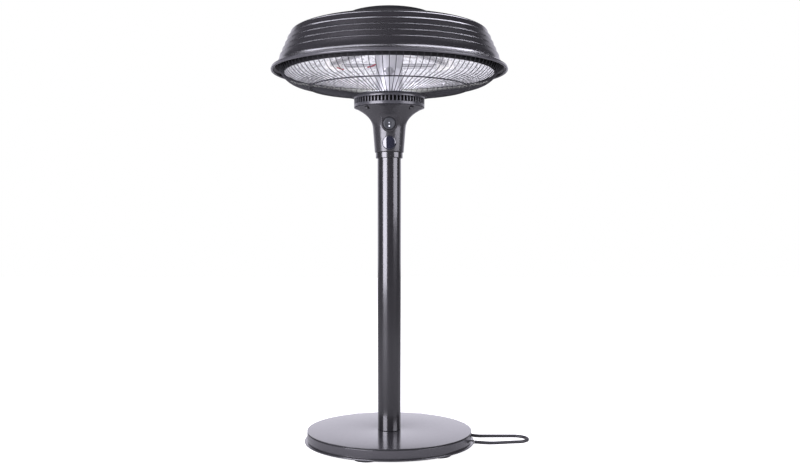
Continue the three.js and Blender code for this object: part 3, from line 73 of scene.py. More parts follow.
GUARD_BEND_R, GUARD_BEND_Z = 48, 817.4
CORD_R, GLAND_Z, EXIT_ANGLE, HANK_Y = 3.5, 5.5, math.radians(-6), 220.1
print("The canopy's rim is", 2 * RIM_R, "mm across and", RIM_Z, "mm above the ground")

# %% [markdown]
# ## Surface effects as node groups
#
# Real paint, rubber and metal are never quite even. Each material could have its own noise, but one node
# group for each effect lets all the materials that need it share a recipe. A group takes the plain colour and
# roughness, and gives back the varied ones with a bumped normal.


# %% Short ways to add nodes
def add(tree, kind, inputs=None, **settings):
    """Adds a node. An input is a value, or a socket to link from."""
    made = tree.nodes.new(kind)
    for key, value in settings.items():
        setattr(made, key, value)
    for key, value in (inputs or {}).items():
        if isinstance(value, bpy.types.NodeSocket):
            tree.links.new(value, made.inputs[key])
        else:
            made.inputs[key].default_value = value
    return made


def math_node(tree, operation, a, b=0.0, clamp=False):
    """One sum of two values or sockets."""
    return add(tree, "ShaderNodeMath", {0: a, 1: b}, operation=operation, use_clamp=clamp).outputs[0]


def shaded(tree, colour, factor):
    """A colour made darker or lighter by a factor around 1."""
    return add(tree, "ShaderNodeVectorMath", {0: colour, "Scale": factor}, operation="SCALE").outputs[0]


# %% How an effect starts and ends
def new_group(name, extra):
    """An empty effect: its colour, roughness, scale and bump inputs, and whatever extra inputs it names."""
    tree = bpy.data.node_groups.new(name, "ShaderNodeTree")
    face = tree.interface
    face.new_socket("Colour", in_out="INPUT", socket_type="NodeSocketColor")
    for socket in ("Roughness", "Scale", "Bump", *extra):
        face.new_socket(socket, in_out="INPUT", socket_type="NodeSocketFloat")
    face.new_socket("Colour", in_out="OUTPUT", socket_type="NodeSocketColor")
    face.new_socket("Roughness", in_out="OUTPUT", socket_type="NodeSocketFloat")
    face.new_socket("Normal", in_out="OUTPUT", socket_type="NodeSocketVector")
    entry = add(tree, "NodeGroupInput")
    place = add(tree, "ShaderNodeTexCoord").outputs["Object"]
    return tree, entry.outputs, place


def close_group(tree, colour, roughness, height, source, distance):
    """The effect's outputs; the distance is how deep its relief is, in metres."""
    bump = add(tree, "ShaderNodeBump", {"Height": height, "Strength": source["Bump"], "Distance": distance})
    add(tree, "NodeGroupOutput", {"Colour": colour, "Roughness": roughness, "Normal": bump.outputs[0]})
    return tree


# %% Values that vary
def noise(tree, place, scale, detail=3.0, rough=0.5):
    """A cloudy value from 0 to 1."""
    made = add(tree, "ShaderNodeTexNoise",
               {"Vector": place, "Scale": scale, "Detail": detail, "Roughness": rough})
    return made.outputs["Fac"]


def centred(tree, value, amount):
    """A 0 to 1 value as a factor around 1, as wide as the amount."""
    around_zero = math_node(tree, "SUBTRACT", value, 0.5)
    return math_node(tree, "ADD", math_node(tree, "MULTIPLY", around_zero, amount), 1.0)


def varied_roughness(tree, source, value):
    """The roughness input, moved up and down by a 0 to 1 value, as far as the gloss input says."""
    around_zero = math_node(tree, "SUBTRACT", value, 0.5)
    change = math_node(tree, "MULTIPLY", around_zero, source["Gloss"])
    return math_node(tree, "ADD", source["Roughness"], change, clamp=True)


# %% Paint, plastic and rubber
def skin_effect():
    """Paint, plastic and rubber: a fine grain, broad cloudy change in shade, and a change in gloss."""
    tree, source, place = new_group("skin", ("Cloud", "Gloss"))
    grain = noise(tree, place, source["Scale"], 2.0)
    cloud = noise(tree, place, 14.0, 4.0, 0.6)
    smear = noise(tree, place, 46.0, 5.0, 0.65)
    shade = centred(tree, cloud, source["Cloud"])
    fleck = centred(tree, grain, math_node(tree, "MULTIPLY", source["Cloud"], 0.8))
    colour = shaded(tree, shaded(tree, source["Colour"], shade), fleck)
    return close_group(tree, colour, varied_roughness(tree, source, smear), grain, source, 0.0002)


# %% Hammered sheet
def hammer_effect():
    """Hammered sheet: shallow dimples side by side, each a little lens for the light."""
    tree, source, place = new_group("hammered", ("Cloud", "Gloss"))
    layout = {"Vector": place, "Scale": source["Scale"], "Randomness": 0.9}
    cells = add(tree, "ShaderNodeTexVoronoi", layout, feature="SMOOTH_F1")
    tone = add(tree, "ShaderNodeTexVoronoi", layout)
    grey = add(tree, "ShaderNodeRGBToBW", {"Color": tone.outputs["Color"]}).outputs[0]
    colour = shaded(tree, source["Colour"], centred(tree, grey, source["Cloud"]))
    roughness = varied_roughness(tree, source, grey)
    return close_group(tree, colour, roughness, cells.outputs["Distance"], source, 0.002)


# %% Rolled metal and castings
def brushed_effect():
    """Rolled or drawn metal: long fine scratches round the axis and a cloudy oxide."""
    tree, source, place = new_group("brushed", ("Cloud", "Gloss"))
    stretch = (0.06, 0.06, 1.0)
    stretched = add(tree, "ShaderNodeVectorMath", {0: place, 1: stretch}, operation="MULTIPLY").outputs[0]
    lines = noise(tree, stretched, source["Scale"], 4.0, 0.7)
    cloud = noise(tree, place, 30.0, 4.0, 0.6)
    colour = shaded(tree, source["Colour"], centred(tree, cloud, source["Cloud"]))
    return close_group(tree, colour, varied_roughness(tree, source, lines), lines, source, 0.0003)


def cast_effect():
    """A casting's skin: coarse sand texture with pits, darker in the hollows."""
    tree, source, place = new_group("cast", ("Cloud", "Gloss"))
    sand = noise(tree, place, source["Scale"], 8.0, 0.7)
    pit_scale = math_node(tree, "MULTIPLY", source["Scale"], 0.4)
    pits = add(tree, "ShaderNodeTexVoronoi", {"Vector": place, "Scale": pit_scale})
    height = math_node(tree, "ADD", sand, math_node(tree, "MULTIPLY", pits.outputs["Distance"], 0.5))
    colour = shaded(tree, source["Colour"], centred(tree, sand, source["Cloud"]))
    grit = math_node(tree, "MULTIPLY", sand, source["Gloss"])
    roughness = math_node(tree, "ADD", source["Roughness"], grit, clamp=True)
    return close_group(tree, colour, roughness, height, source, 0.0006)


# %% The four effects
EFFECTS = {
    "skin": skin_effect(),
    "hammered": hammer_effect(),
    "brushed": brushed_effect(),
    "cast": cast_effect(),
}
print("Effects:", ", ".join(EFFECTS))

# %% [markdown]
# ## Materials
#
# The heater's own colours, as seen in flat light: a cool charcoal semi-gloss paint, near-black plastics, a
# bright hammered reflector and black wire. One function makes them all, so that each line holds only what
# sets a finish apart: its colour, its roughness, and how strongly its effect shows.


# %% A material around one effect
def surface(name, colour, roughness, effect="skin", scale=900.0, bump=0.2, cloud=0.15, gloss=0.1, **settings):
    """A material: a shader with its even values on its own sockets, and one effect that varies the rest."""
    material = bpy.data.materials.new(name)
    material.use_nodes = True
    tree = material.node_tree
    shader = tree.nodes["Principled BSDF"]
    for key, value in settings.items():
        shader.inputs[key.replace("_", " ")].default_value = value
    effects = add(tree, "ShaderNodeGroup", node_tree=EFFECTS[effect])
    effects.inputs["Colour"].default_value = (*colour, 1)
    values = {"Roughness": roughness, "Scale": scale, "Bump": bump, "Cloud": cloud, "Gloss": gloss}
    for key, value in values.items():
        effects.inputs[key].default_value = value
    for output, socket in (("Colour", "Base Color"), ("Roughness", "Roughness"), ("Normal", "Normal")):
        tree.links.new(effects.outputs[output], shader.inputs[socket])
    return material


# %% Paints and plastics
SPRAYED = {"scale": 1500, "bump": 0.1, "cloud": 0.12, "gloss": 0.06}
paint = surface("charcoal_paint", (0.013, 0.0125, 0.0135), 0.22,
                Coat_Weight=0.6, Coat_Roughness=0.1, **SPRAYED)
cap_paint = surface("cap_paint", (0.015, 0.0147, 0.0155), 0.75,
                    Specular_IOR_Level=0.04, **SPRAYED)
canopy_paint = surface("canopy_paint", (0.017, 0.0165, 0.018), 0.26,
                       Coat_Weight=0.25, Coat_Roughness=0.12, **SPRAYED)
# Painted highlight: a paler copy of the canopy's paint on the rolled bead, standing in for the light the bead
# catches.
bead_painted_sheen = surface("bead_painted_sheen", (0.042, 0.041, 0.045), 0.32, Coat_Weight=0.5, Coat_Roughness=0.15, **SPRAYED)
neck_plastic = surface("neck_plastic", (0.022, 0.0215, 0.023), 0.26,
                       scale=2200, bump=0.1, cloud=0.1, gloss=0.06, Coat_Weight=0.25, Coat_Roughness=0.2)
base_paint = surface("base_paint", (0.03, 0.029, 0.032), 0.2,
                     scale=1500, bump=0.08, cloud=0.08, gloss=0.04, Coat_Weight=1.0, Coat_Roughness=0.12)
vent_plastic = surface("vent_plastic", (0.04, 0.04, 0.044), 0.26,
                       scale=2000, bump=0.1, cloud=0.1, gloss=0.08)
button_plastic = surface("button_plastic", (0.022, 0.024, 0.027), 0.45,
                         scale=900, bump=1.0, cloud=1.4, gloss=0.2)
black_plastic = surface("black_plastic", (0.014, 0.014, 0.016), 0.4,
                        scale=1800, bump=0.25, cloud=0.2, gloss=0.1)
lens_glass = surface("lens_window", (0.012, 0.0125, 0.02), 0.06,
                     scale=300, bump=0.0, cloud=0.1, gloss=0.02, Coat_Weight=1.0, Coat_Roughness=0.02)
rubber = surface("black_rubber", (0.018, 0.018, 0.019), 0.62, scale=1400, bump=0.5, cloud=0.35, gloss=0.2)
lead_rubber = surface("lead_rubber", (0.022, 0.022, 0.024), 0.45,
                      scale=1600, bump=0.3, cloud=0.3, gloss=0.15)

# %% Metals and wire
mirror_metal = surface("hammered_aluminium", (0.9, 0.9, 0.91), 0.3, "hammered",
                       scale=210, bump=0.55, cloud=0.25, gloss=0.25, Metallic=0.3)
column_metal = surface("column_aluminium", (0.62, 0.62, 0.64), 0.5, "brushed",
                       scale=900, bump=0.2, cloud=0.2, gloss=0.15, Metallic=0.7)
wire_paint = surface("wire_paint", (0.02, 0.02, 0.023), 0.6,
                     scale=1500, bump=0.15, cloud=0.2, gloss=0.12, Specular_IOR_Level=0.3)
zinc = surface("zinc_plate", (0.62, 0.63, 0.66), 0.34, "brushed",
               scale=700, bump=0.2, cloud=0.35, gloss=0.3, Metallic=1.0)
cast_iron = surface("cast_iron", (0.07, 0.07, 0.075), 0.6, "cast",
                    scale=500, bump=0.8, cloud=0.7, gloss=0.3, Metallic=0.6)
cutout_metal = surface("cutout_metal", (0.42, 0.42, 0.44), 0.5, "brushed",
                       scale=700, bump=0.3, cloud=0.5, gloss=0.3, Metallic=0.8)

# %% The small pieces' own materials
ceramic = surface("ceramic", (0.9, 0.885, 0.86), 0.5, scale=1200, bump=0.5, cloud=0.12, gloss=0.2)
brass = surface("pin_brass", (0.72, 0.52, 0.22), 0.25, "brushed",
                scale=900, bump=0.15, cloud=0.2, gloss=0.2, Metallic=1.0)
red_silicone = surface("red_silicone", (0.3, 0.012, 0.035), 0.5,
                       scale=1500, bump=0.3, cloud=0.25, gloss=0.15)
white_sleeve = surface("glass_fibre_sleeve", (0.72, 0.71, 0.7), 0.7,
                       scale=2500, bump=0.9, cloud=0.25, gloss=0.1)
board_green = surface("circuit_board", (0.02, 0.09, 0.035), 0.35, scale=260, bump=0.5, cloud=0.9, gloss=0.3)
# Painted shade: a near-black for faces where shade falls, in the base's grooves, the neck's screw pockets,
# inside the canopy and on the reflector's back.
painted_shade_black = surface("painted_shade_black", (0.006, 0.006, 0.007), 0.65,
                       scale=1200, bump=0.3, cloud=0.4, gloss=0.15)
# Partly painted shade: the neck's screws are nearly black, which also keeps their pockets dark.
screw_black_and_shade = surface("black_screw_and_shade", (0.012, 0.012, 0.013), 0.4, "brushed",
                      scale=700, bump=0.2, cloud=0.4, gloss=0.2, Metallic=0.4)
# Partly painted shade: the gauze is an even near-black band that also stands for the dark inside the head
# behind the slots.
gauze_and_shade_black = surface("vent_gauze_and_shade", (0.003, 0.003, 0.003), 0.9,
                      scale=1500, bump=0.6, cloud=0.6, gloss=0.1, Specular_IOR_Level=0.1)

# %% Glass and what lies in it
quartz = surface("quartz_glass", (0.95, 0.95, 0.96), 0.12,
                 scale=600, bump=0.05, cloud=0.03, gloss=0.1, Transmission_Weight=0.85, IOR=1.46)
filament = surface("tungsten", (0.35, 0.34, 0.33), 0.4, "brushed",
                   scale=900, bump=0.1, cloud=0.2, gloss=0.2, Metallic=1.0)
# Painted highlight: the heat light's window glows a little, a painted glint.
light_window = surface("light_window", (0.92, 0.95, 1.0), 0.15,
                       scale=900, bump=0.0, cloud=0.02, gloss=0.05,
                       Emission_Color=(0.9, 0.95, 1.0, 1), Emission_Strength=0.2)
dim_window = surface("dim_window", (0.4, 0.41, 0.43), 0.2, scale=900, bump=0.0, cloud=0.02, gloss=0.05)
print(len(bpy.data.materials), "materials")

# %% [markdown]
# ## The camera
#
# Worked out from the ellipses of the base, the canopy's rim and the reflector's rim in the photograph: almost
# two metres away, half way up the heater, looking slightly down. Tilting it up to hold the canopy would make
# upright lines lean in, so the lens is shifted up instead, as a product photographer does.

# %% The camera
CAMERA_DISTANCE, CAMERA_HEIGHT, CAMERA_PITCH = 1.956, 0.481, 6.13
camera_data = bpy.data.cameras.new("camera")
camera_data.sensor_width = 36
camera_data.lens = 40.77
camera_data.shift_x = 0.0134
camera_data.shift_y = 0.1069
camera = bpy.data.objects.new("camera", camera_data)
camera.location = (0, -CAMERA_DISTANCE, CAMERA_HEIGHT)
camera.rotation_euler = (math.radians(90 - CAMERA_PITCH), 0, 0)
scene.collection.objects.link(camera)
scene.camera = camera
print("The camera stands", CAMERA_DISTANCE, "m in front and looks", CAMERA_PITCH, "degrees down")

# %% [markdown]
# ## From a mesh to a piece
#
# Every piece of the heater is drawn in place as a bmesh. One function then makes the object, shades it smooth
# but for its sharp edges, gives it its material and ties it to the body that it moves with.


# %% Joining and moving meshes, and making a piece
def joined(bm, part):
    """Moves one mesh's geometry into another."""
    mesh = bpy.data.meshes.new("part")
    part.to_mesh(mesh)
    part.free()
    bm.from_mesh(mesh)
    bpy.data.meshes.remove(mesh)
    return bm


def moved(bm, matrix):
    """The same mesh, moved or turned."""
    bmesh.ops.transform(bm, matrix=matrix, verts=bm.verts)
    return bm


def made_of(name, bm):
    """An object in the scene, with the mesh."""
    mesh = bpy.data.meshes.new(name)
    bm.to_mesh(mesh)
    bm.free()
    made = bpy.data.objects.new(name, mesh)
    scene.collection.objects.link(made)
    return made


def piece(name, bm, material, body="heater", replaces=(), sharp=35, extra=()):
    """Makes an object of a mesh, smooth except across sharp edges, and ties it to its body."""
    made = made_of(name, bm)
    mesh = made.data
    mesh.polygons.foreach_set("use_smooth", [True] * len(mesh.polygons))
    mesh.set_sharp_from_angle(angle=math.radians(sharp))
    for used in (material, *extra):
        mesh.materials.append(used)
    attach(made, body)
    if replaces:
        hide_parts(*replaces)
    print(name, "has", len(mesh.polygons), "faces")
    return made


# %% [markdown]
# ## The mains lead
#
# One cord of 1.73 m, close to the 1.8 m that such a heater commonly has. It leaves from under the lip, runs
# out as far as the photograph shows it, turns back in a wide bend, follows the base and winds into a flat
# hank behind it. The last turn lies on the first two, and the end crosses the hank in a low hump to the plug.
# No bend is tighter than a radius of three diameters. A curve with a round bevel draws a lead of even
# thickness, and takes any bend.


# %% Arcs and straight runs
def arc(cx, cy, r, start, end, z, steps):
    """Points on a level arc; z is one height, or the two to climb between."""
    low, high = z if isinstance(z, tuple) else (z, z)
    points = []
    for i in range(steps + 1):
        a = math.radians(start + (end - start) * i / steps)
        points.append((cx + r * math.cos(a), cy + r * math.sin(a), low + (high - low) * i / steps))
    return points


def run(start, end, steps):
    """Points on a run along X that eases sideways and upwards from its start to its end, without the ends."""
    points = []
    for i in range(1, steps):
        t = i / steps
        ease = t * t * (3 - 2 * t)
        y, z = (a + (b - a) * ease for a, b in zip(start[1:], end[1:]))
        points.append((start[0] + (end[0] - start[0]) * t, y, z))
    return points


# %% The way round the base
FLOOR_Z = CORD_R + 0.2
CORD_BEND, HALF_RUN, REACH_OUT, EXIT_R = 28, 70, 93.6, 186.3
EXIT_X, EXIT_Y = EXIT_R * math.cos(EXIT_ANGLE), EXIT_R * math.sin(EXIT_ANGLE)


def way_round_the_base():
    """From the strain relief out to the right, back, and round the base to the hank."""
    settle = [(0, 0, GLAND_Z), (0.1, -1, 5.1), (0.2, -1.6, 4.6), (0.35, -1.8, 3.9), (0.5, -0.6, FLOOR_Z),
              (0.65, 2.2, FLOOR_Z), (0.8, 5.4, FLOOR_Z), (0.92, 7.6, FLOOR_Z)]
    points = [(EXIT_X + REACH_OUT * share, EXIT_Y + y, z) for share, y, z in settle]
    turn_x, turn_y = EXIT_X + REACH_OUT, EXIT_Y + 8.4
    points += arc(turn_x, turn_y + CORD_BEND, CORD_BEND, -90, 90, FLOOR_Z, 14)
    follow = LIP_R + 5
    back_y = turn_y + 2 * CORD_BEND
    centre_y = back_y + CORD_BEND
    centre_x = math.sqrt((follow + CORD_BEND) ** 2 - centre_y ** 2)
    meet = math.degrees(math.atan2(centre_y, centre_x))
    points += [(turn_x + (centre_x - turn_x) * i / 5, back_y, FLOOR_Z) for i in range(1, 5)]
    points += arc(centre_x, centre_y, CORD_BEND, -90, meet - 180, FLOOR_Z, 6)
    reach = math.hypot(HALF_RUN, HANK_Y)
    leave = math.degrees(math.atan2(HANK_Y, HALF_RUN) - math.acos((follow - CORD_BEND) / reach))
    points += arc(0, 0, follow, meet, leave, FLOOR_Z, 4)[1:]
    first_turn = arc(HALF_RUN, HANK_Y, CORD_BEND, leave, 90, FLOOR_Z, 5)
    start = Vector(points[-1])
    points += [tuple(start.lerp(Vector(first_turn[0]), i / 9)) for i in range(1, 9)]
    return points + first_turn


# %% The hank and the end
TOP_Z, INNER_TURN, UPPER_TURN = 9.9, 21, 24.5


def hank_and_end():
    """Two turns on the ground, one on top of them, and the hump across them to the plug."""
    points = []
    turns = [(CORD_BEND, FLOOR_Z), (INNER_TURN, FLOOR_Z), (UPPER_TURN, TOP_Z)]
    for number, (r, z) in enumerate(turns):
        points += run((HALF_RUN, HANK_Y + r, z), (-HALF_RUN, HANK_Y + r, z), 7)
        points += arc(-HALF_RUN, HANK_Y, r, 90, 270, z, 14)
        if number < 2:
            next_r, next_z = turns[number + 1]
            points += run((-HALF_RUN, HANK_Y - r, z), (HALF_RUN, HANK_Y - next_r, next_z), 9)
            points += arc(HALF_RUN, HANK_Y, next_r, -90, 90, next_z, 14)
    points += [(-58, HANK_Y - UPPER_TURN, TOP_Z), (-44, HANK_Y - UPPER_TURN, 10)]
    points += arc(-28, HANK_Y + 3.5, CORD_BEND, -90, 0, (10.2, 15.6), 7)
    hump = ((234, 17.7), (244, 18), (254, 18), (264, 15.4), (273, 12.4), (279, 11.2), (283.5, 11))
    return points + [(0, y, z) for y, z in hump]


# %% The lead's curve
route = way_round_the_base() + hank_and_end()
lead_curve = bpy.data.curves.new("mains_lead", "CURVE")
lead_curve.dimensions = "3D"
lead_curve.bevel_depth = CORD_R * MM
lead_curve.bevel_resolution = 5
lead_curve.use_fill_caps = True
spline = lead_curve.splines.new("POLY")
spline.points.add(len(route) - 1)
for point, place in zip(spline.points, route):
    point.co = (*(Vector(place) * MM), 1)
spline.use_smooth = True
lead_curve.materials.append(lead_rubber)
mains_lead = bpy.data.objects.new("mains_lead", lead_curve)
scene.collection.objects.link(mains_lead)
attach(mains_lead, "heater")
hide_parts("cord", "cord_hank", "cord_end")
route_length = sum((Vector(b) - Vector(a)).length for a, b in zip(route, route[1:])) * MM
print(f"The mains lead is {route_length:.4f} m long, through {len(route)} points")

# %% [markdown]
# ### The plug, the strain relief and the hank's ties
#
# The plug lies on its back behind the pole: a moulded body with a finger waist and a ribbed boot, and three
# flat pins. Its body could be a block with wide bevels, but a stack of outlines, each a little in or out,
# gives the waist too. A circle swept along a path, with a radius for each point, makes the ribs of the boot
# and the strain relief.


# %% Stacking rings and sweeping a circle
def stacked(bm, rings, capped=True):
    """Joins rings of vertices by faces, each to the next one, and may close the two ends."""
    for low, high in zip(rings, rings[1:]):
        for k in range(len(low)):
            after = (k + 1) % len(low)
            bm.faces.new((low[k], low[after], high[after], high[k]))
    if capped:
        bm.faces.new(list(reversed(rings[0])))
        bm.faces.new(rings[-1])
    return bm


def tube(bm, points, radius, sides, closed=False):
    """Sweeps a circle along a path. The radius is one number, or one for each point."""
    points = [Vector(p) * MM for p in points]
    count = len(points)
    radii = radius if isinstance(radius, (list, tuple)) else [radius] * count
    rings = []
    normal = None
    for i, point in enumerate(points):
        if closed:
            along = points[(i + 1) % count] - points[i - 1]
        else:
            along = points[min(i + 1, count - 1)] - points[max(i - 1, 0)]
        along.normalize()
        if normal is None:
            normal = along.orthogonal()
        normal = (normal - along * normal.dot(along)).normalized()
        side = along.cross(normal)
        ring = []
        for k in range(sides):
            angle = TURN * k / sides
            across = normal * math.cos(angle) + side * math.sin(angle)
            ring.append(bm.verts.new(point + across * radii[i] * MM))
        rings.append(ring)
    if closed:
        shift = min(range(sides), key=lambda k: (rings[-1][0].co - rings[0][k].co).length)
        rings.append(rings[0][shift:] + rings[0][:shift])
    return stacked(bm, rings, capped=not closed)


# %% The plug's body
def plug_mesh():
    """The body, as outlines stacked at levels that each have an inset, and its boot."""
    bm = bmesh.new()
    foot, length, middle = 300, 48, 11
    far = foot + length - 9
    outline = []
    for x, y, start in ((15, foot + 8, 270), (15, far, 0), (-15, far, 90), (-15, foot + 8, 180)):
        outline += [point[:2] for point in arc(x, y, 8, start, start + 90, 0, 8)]
    levels = [(1, -3), (1.6, -1.4), (3, -0.4), (5, 0), (9, -0.8), (13, -0.8), (17, 0), (19.2, -0.5),
              (20.4, -1.6), (21, -3.4)]
    rings = []
    centre = Vector((0, foot + length / 2))
    for z, inset in levels:
        ring = []
        for x, y in outline:
            away = Vector((x, y)) - centre
            spot = centre + away * (1 + inset / away.length)
            ring.append(bm.verts.new((spot.x * MM, spot.y * MM, z * MM)))
        rings.append(ring)
    stacked(bm, rings)
    steps = 32
    path = [(0, 283.9 + 18 * i / steps, middle) for i in range(steps + 1)]
    radii = [4.4 + 2.4 * i / steps + (0.5 if i % 6 < 3 and 2 < i < 28 else 0) for i in range(steps + 1)]
    tube(bm, path, radii, 24)
    return bm


plug_body = piece("plug_body", plug_mesh(), black_plastic, replaces=["plug"])


# %% The plug's pins, as blocks with rounded edges
def box(bm, low, high, bevel, segments=2, matrix=Matrix()):
    """A block between two corners, with its edges rounded by a bevel."""
    part = bmesh.new()
    bmesh.ops.create_cube(part, size=1)
    size = [(b - a) * MM for a, b in zip(low, high)]
    middle = [(a + b) / 2 * MM for a, b in zip(low, high)]
    bmesh.ops.scale(part, vec=size, verts=part.verts)
    bmesh.ops.translate(part, vec=middle, verts=part.verts)
    bmesh.ops.bevel(part, geom=part.edges[:], offset=bevel * MM, segments=segments, profile=0.5,
                    affect="EDGES", material=-1)
    return joined(bm, moved(part, matrix))


pins = bmesh.new()
box(pins, (-14.2, 313, 20), (-7.8, 317, 39), 0.7, 3)
box(pins, (7.8, 313, 20), (14.2, 317, 39), 0.7, 3)
box(pins, (-2, 333, 20), (2, 341, 43), 0.7, 3)
plug_pins = piece("plug_pins", pins, brass)

# %% The strain relief
gland = bmesh.new()
GLAND_START, GLAND_LENGTH, GLAND_STEPS, GROOVE = 150, 36, 40, 0.35
gland_points, gland_radii = [], []
for i in range(GLAND_STEPS + 1):
    reach = GLAND_START + GLAND_LENGTH * i / GLAND_STEPS
    gland_points.append((reach * math.cos(EXIT_ANGLE), reach * math.sin(EXIT_ANGLE), GLAND_Z))
    gland_radii.append(5.1 - 0.9 * i / GLAND_STEPS - (GROOVE if i % 5 > 2 and i > 8 else 0))
tube(gland, gland_points, gland_radii, 24)
piece("strain_relief", gland, rubber, replaces=["cord_gland"])


# %% The hank's ties, and what the lead is
def stadium(x, y, z, half_x, half_z, radius, steps=6):
    """A closed loop of points round a bundle that runs along X."""
    points = []
    corners = ((half_x, half_z, 0), (-half_x, half_z, 90), (-half_x, -half_z, 180), (half_x, -half_z, 270))
    for cy, cz, start in corners:
        for i in range(steps + 1):
            a = math.radians(start + 90 * i / steps)
            points.append((x, y + cy + radius * math.cos(a), z + cz + radius * math.sin(a)))
    return points


TIE_X, TIE_R = 26, 0.9
ties = bmesh.new()
for side in (-1, 1):
    for shift in (0, 2):
        loop = stadium(TIE_X * side + shift, HANK_Y + UPPER_TURN, 7.2, 3.9, 3.2, 3.6)
        tube(ties, loop, TIE_R, 8, closed=True)
hank_ties = piece("hank_ties", ties, black_plastic)

# %% [markdown]
# ## The base
#
# A spun steel cover: a flat top, a groove just under its edge, a straight side, and a lip rolled out at
# the foot. Cylinders joined by booleans could make it, but it was spun as sheet on the real heater, so a
# profile spun about the axis gives it the same form in one step. Its corners get a real radius, because a
# sharp edge catches no light. A groove is only seen as a line if no light reaches its bottom, so its faces
# are painted black as shade. The rubber feet are pads with a moulded step and a ring under them.


# %% Rounding a profile and spinning it
def rounded(points, radius, steps, closed=True):
    """A profile with each corner rounded; a point may carry its own radius as a third number."""
    corners = [(Vector(p[:2]), p[2] if len(p) > 2 else radius) for p in points]
    result = []
    for i, (corner, r) in enumerate(corners):
        if r <= 0 or not closed and i in (0, len(corners) - 1):
            result.append(corner)
            continue
        before = corners[i - 1][0] - corner
        after = corners[(i + 1) % len(corners)][0] - corner
        bend = before.angle(after)
        reach = min(r / max(math.tan(bend / 2), 1e-3), 0.45 * before.length, 0.45 * after.length)
        start, end = corner + before.normalized() * reach, corner + after.normalized() * reach
        for step in range(steps + 1):
            t = step / steps
            result.append(start * (1 - t) ** 2 + corner * 2 * t * (1 - t) + end * t * t)
    return [(p.x, p.y) for p in result]


def spun(bm, profile, steps, closed=True):
    """Spins a profile of (radius, height) points about the Z axis."""
    part = bmesh.new()
    verts = [part.verts.new((r * MM, 0, z * MM)) for r, z in profile]
    pairs = list(zip(verts, verts[1:])) + ([(verts[-1], verts[0])] if closed else [])
    edges = [part.edges.new(pair) for pair in pairs]
    bmesh.ops.spin(part, geom=verts + edges, cent=(0, 0, 0), axis=(0, 0, 1), angle=TURN, steps=steps,
                   use_merge=True)
    bmesh.ops.remove_doubles(part, verts=part.verts, dist=1e-7)
    bmesh.ops.recalc_face_normals(part, faces=part.faces)
    return joined(bm, part)


# %% The base's cover
cover = bmesh.new()
spun(cover, rounded([
    (23.3, BASE_TOP, 0.4), (BASE_R, BASE_TOP, 0.5), (BASE_R, BASE_TOP - 0.7, 0.1),
    (BASE_R - 1.1, BASE_TOP - 0.8, 0.1), (BASE_R - 1.1, BASE_TOP - 3.1, 0.1),
    (BASE_R, BASE_TOP - 3.6, 1.0), (BASE_R, LIP_TOP + 1.4, 0.2),
    (BASE_R - 0.8, LIP_TOP + 1.2, 0.2), (BASE_R - 0.8, LIP_TOP + 0.3, 0.3), (BASE_R + 0.6, LIP_TOP, 0.5),
    (LIP_R, LIP_TOP, 1.2), (LIP_R, LIP_FOOT, 1.2),
    (178.5, LIP_FOOT, 0.3), (178.5, BASE_TOP - 1.5, 2), (23.3, BASE_TOP - 1.5, 0.2),
], 0.3, 5), 256)
base_shell = piece("base_shell", cover, base_paint, replaces=["base_cover"],
                   extra=[painted_shade_black])


# %% Painted shade: black faces in the grooves
def paint_where(made, test, number=1):
    """Gives the faces that pass a test, of their middle in millimetres and their normal, another material."""
    painted = [face for face in made.data.polygons if test(face.center / MM, face.normal)]
    for face in painted:
        face.material_index = number
    print(made.name, "has", len(painted), "faces of", made.data.materials[number].name)


def in_groove(centre, normal):
    """Whether a face of the base's cover is in the groove under its edge, or in the one above the lip; these
    are painted black as shade.
    """
    under_edge = BASE_TOP - 3.5 < centre.z < BASE_TOP - 0.6
    above_lip = LIP_TOP + 0.2 < centre.z < LIP_TOP + 1.5
    return 178.6 < centre.xy.length < BASE_R - 0.4 and (under_edge or above_lip)


paint_where(base_shell, in_groove)

# %% The rubber feet
FOOT_COUNT, FOOT_CIRCLE, FIRST_FOOT = 6, 155, 12
for index in range(FOOT_COUNT):
    pad = bmesh.new()
    spun(pad, rounded([
        (0.1, 0.8, 0), (15, 0.8, 0.4), (15.6, 0, 0.4), (23.4, 0, 0.8), (25, 1.6, 0.8), (25, 4.7, 0.5),
        (4, 4.7, 0.2), (4, 11, 0.5), (0.1, 11, 0),
    ], 0.3, 4), 72)
    spin = math.radians(FIRST_FOOT + 360 / FOOT_COUNT * index)
    shift = Matrix.Translation((FOOT_CIRCLE * MM * math.cos(spin), FOOT_CIRCLE * MM * math.sin(spin), 0))
    piece(f"foot_pad_{index + 1}", moved(pad, shift), rubber, replaces=[f"foot_{index + 1}"])

# %% [markdown]
# ## The pole and its collar
#
# Drawn tube with a barely broken edge, and a turned collar that hides the joint to the neck. A cylinder would
# do for the outside, but a spun profile gives the tube its wall and its edges as well.

# %% The pole
POLE_STEPS = 24
pole = bmesh.new()
levels = [POLE_FOOT + (POLE_TOP - POLE_FOOT) * i / POLE_STEPS for i in range(POLE_STEPS + 1)]
outer = [(POLE_R - 0.4, POLE_FOOT)]
outer += [(POLE_R, max(z, POLE_FOOT + 0.4)) for z in levels[:-1]] + [(POLE_R, POLE_TOP)]
spun(pole, outer + [(POLE_R - 1.5, POLE_TOP), (POLE_R - 1.5, POLE_FOOT)], 128)
piece("pole_skin", pole, paint, replaces=["pole_tube"])

# %% The collar
collar = bmesh.new()
spun(collar, rounded([(25.3, 617.3), (28.7, 617.3), (28.7, 629.3), (25.3, 629.3)], 0.9, 5), 128)
piece("collar_ring", collar, paint, replaces=["collar"])

# %% [markdown]
# ## The neck
#
# A trumpet, spun from the same curve as the frame's neck, with a U-shaped pad raised from its front. The pad,
# the button's well, the window's hole and the four screw pockets are joined and cut with booleans, because
# they meet a curved wall, where edges drawn by hand would not lie true.


# %% The neck's curve
def neck_radius(height):
    """The trumpet's radius at a height above its foot: it widens a little, and flares from half way up."""
    straight = NECK_FOOT_R + 0.08 * height
    flare = VENT_R - 0.3 - NECK_FOOT_R - 0.08 * NECK_HEIGHT
    return straight + flare * max(0, (height - 48) / 45) ** 2.6


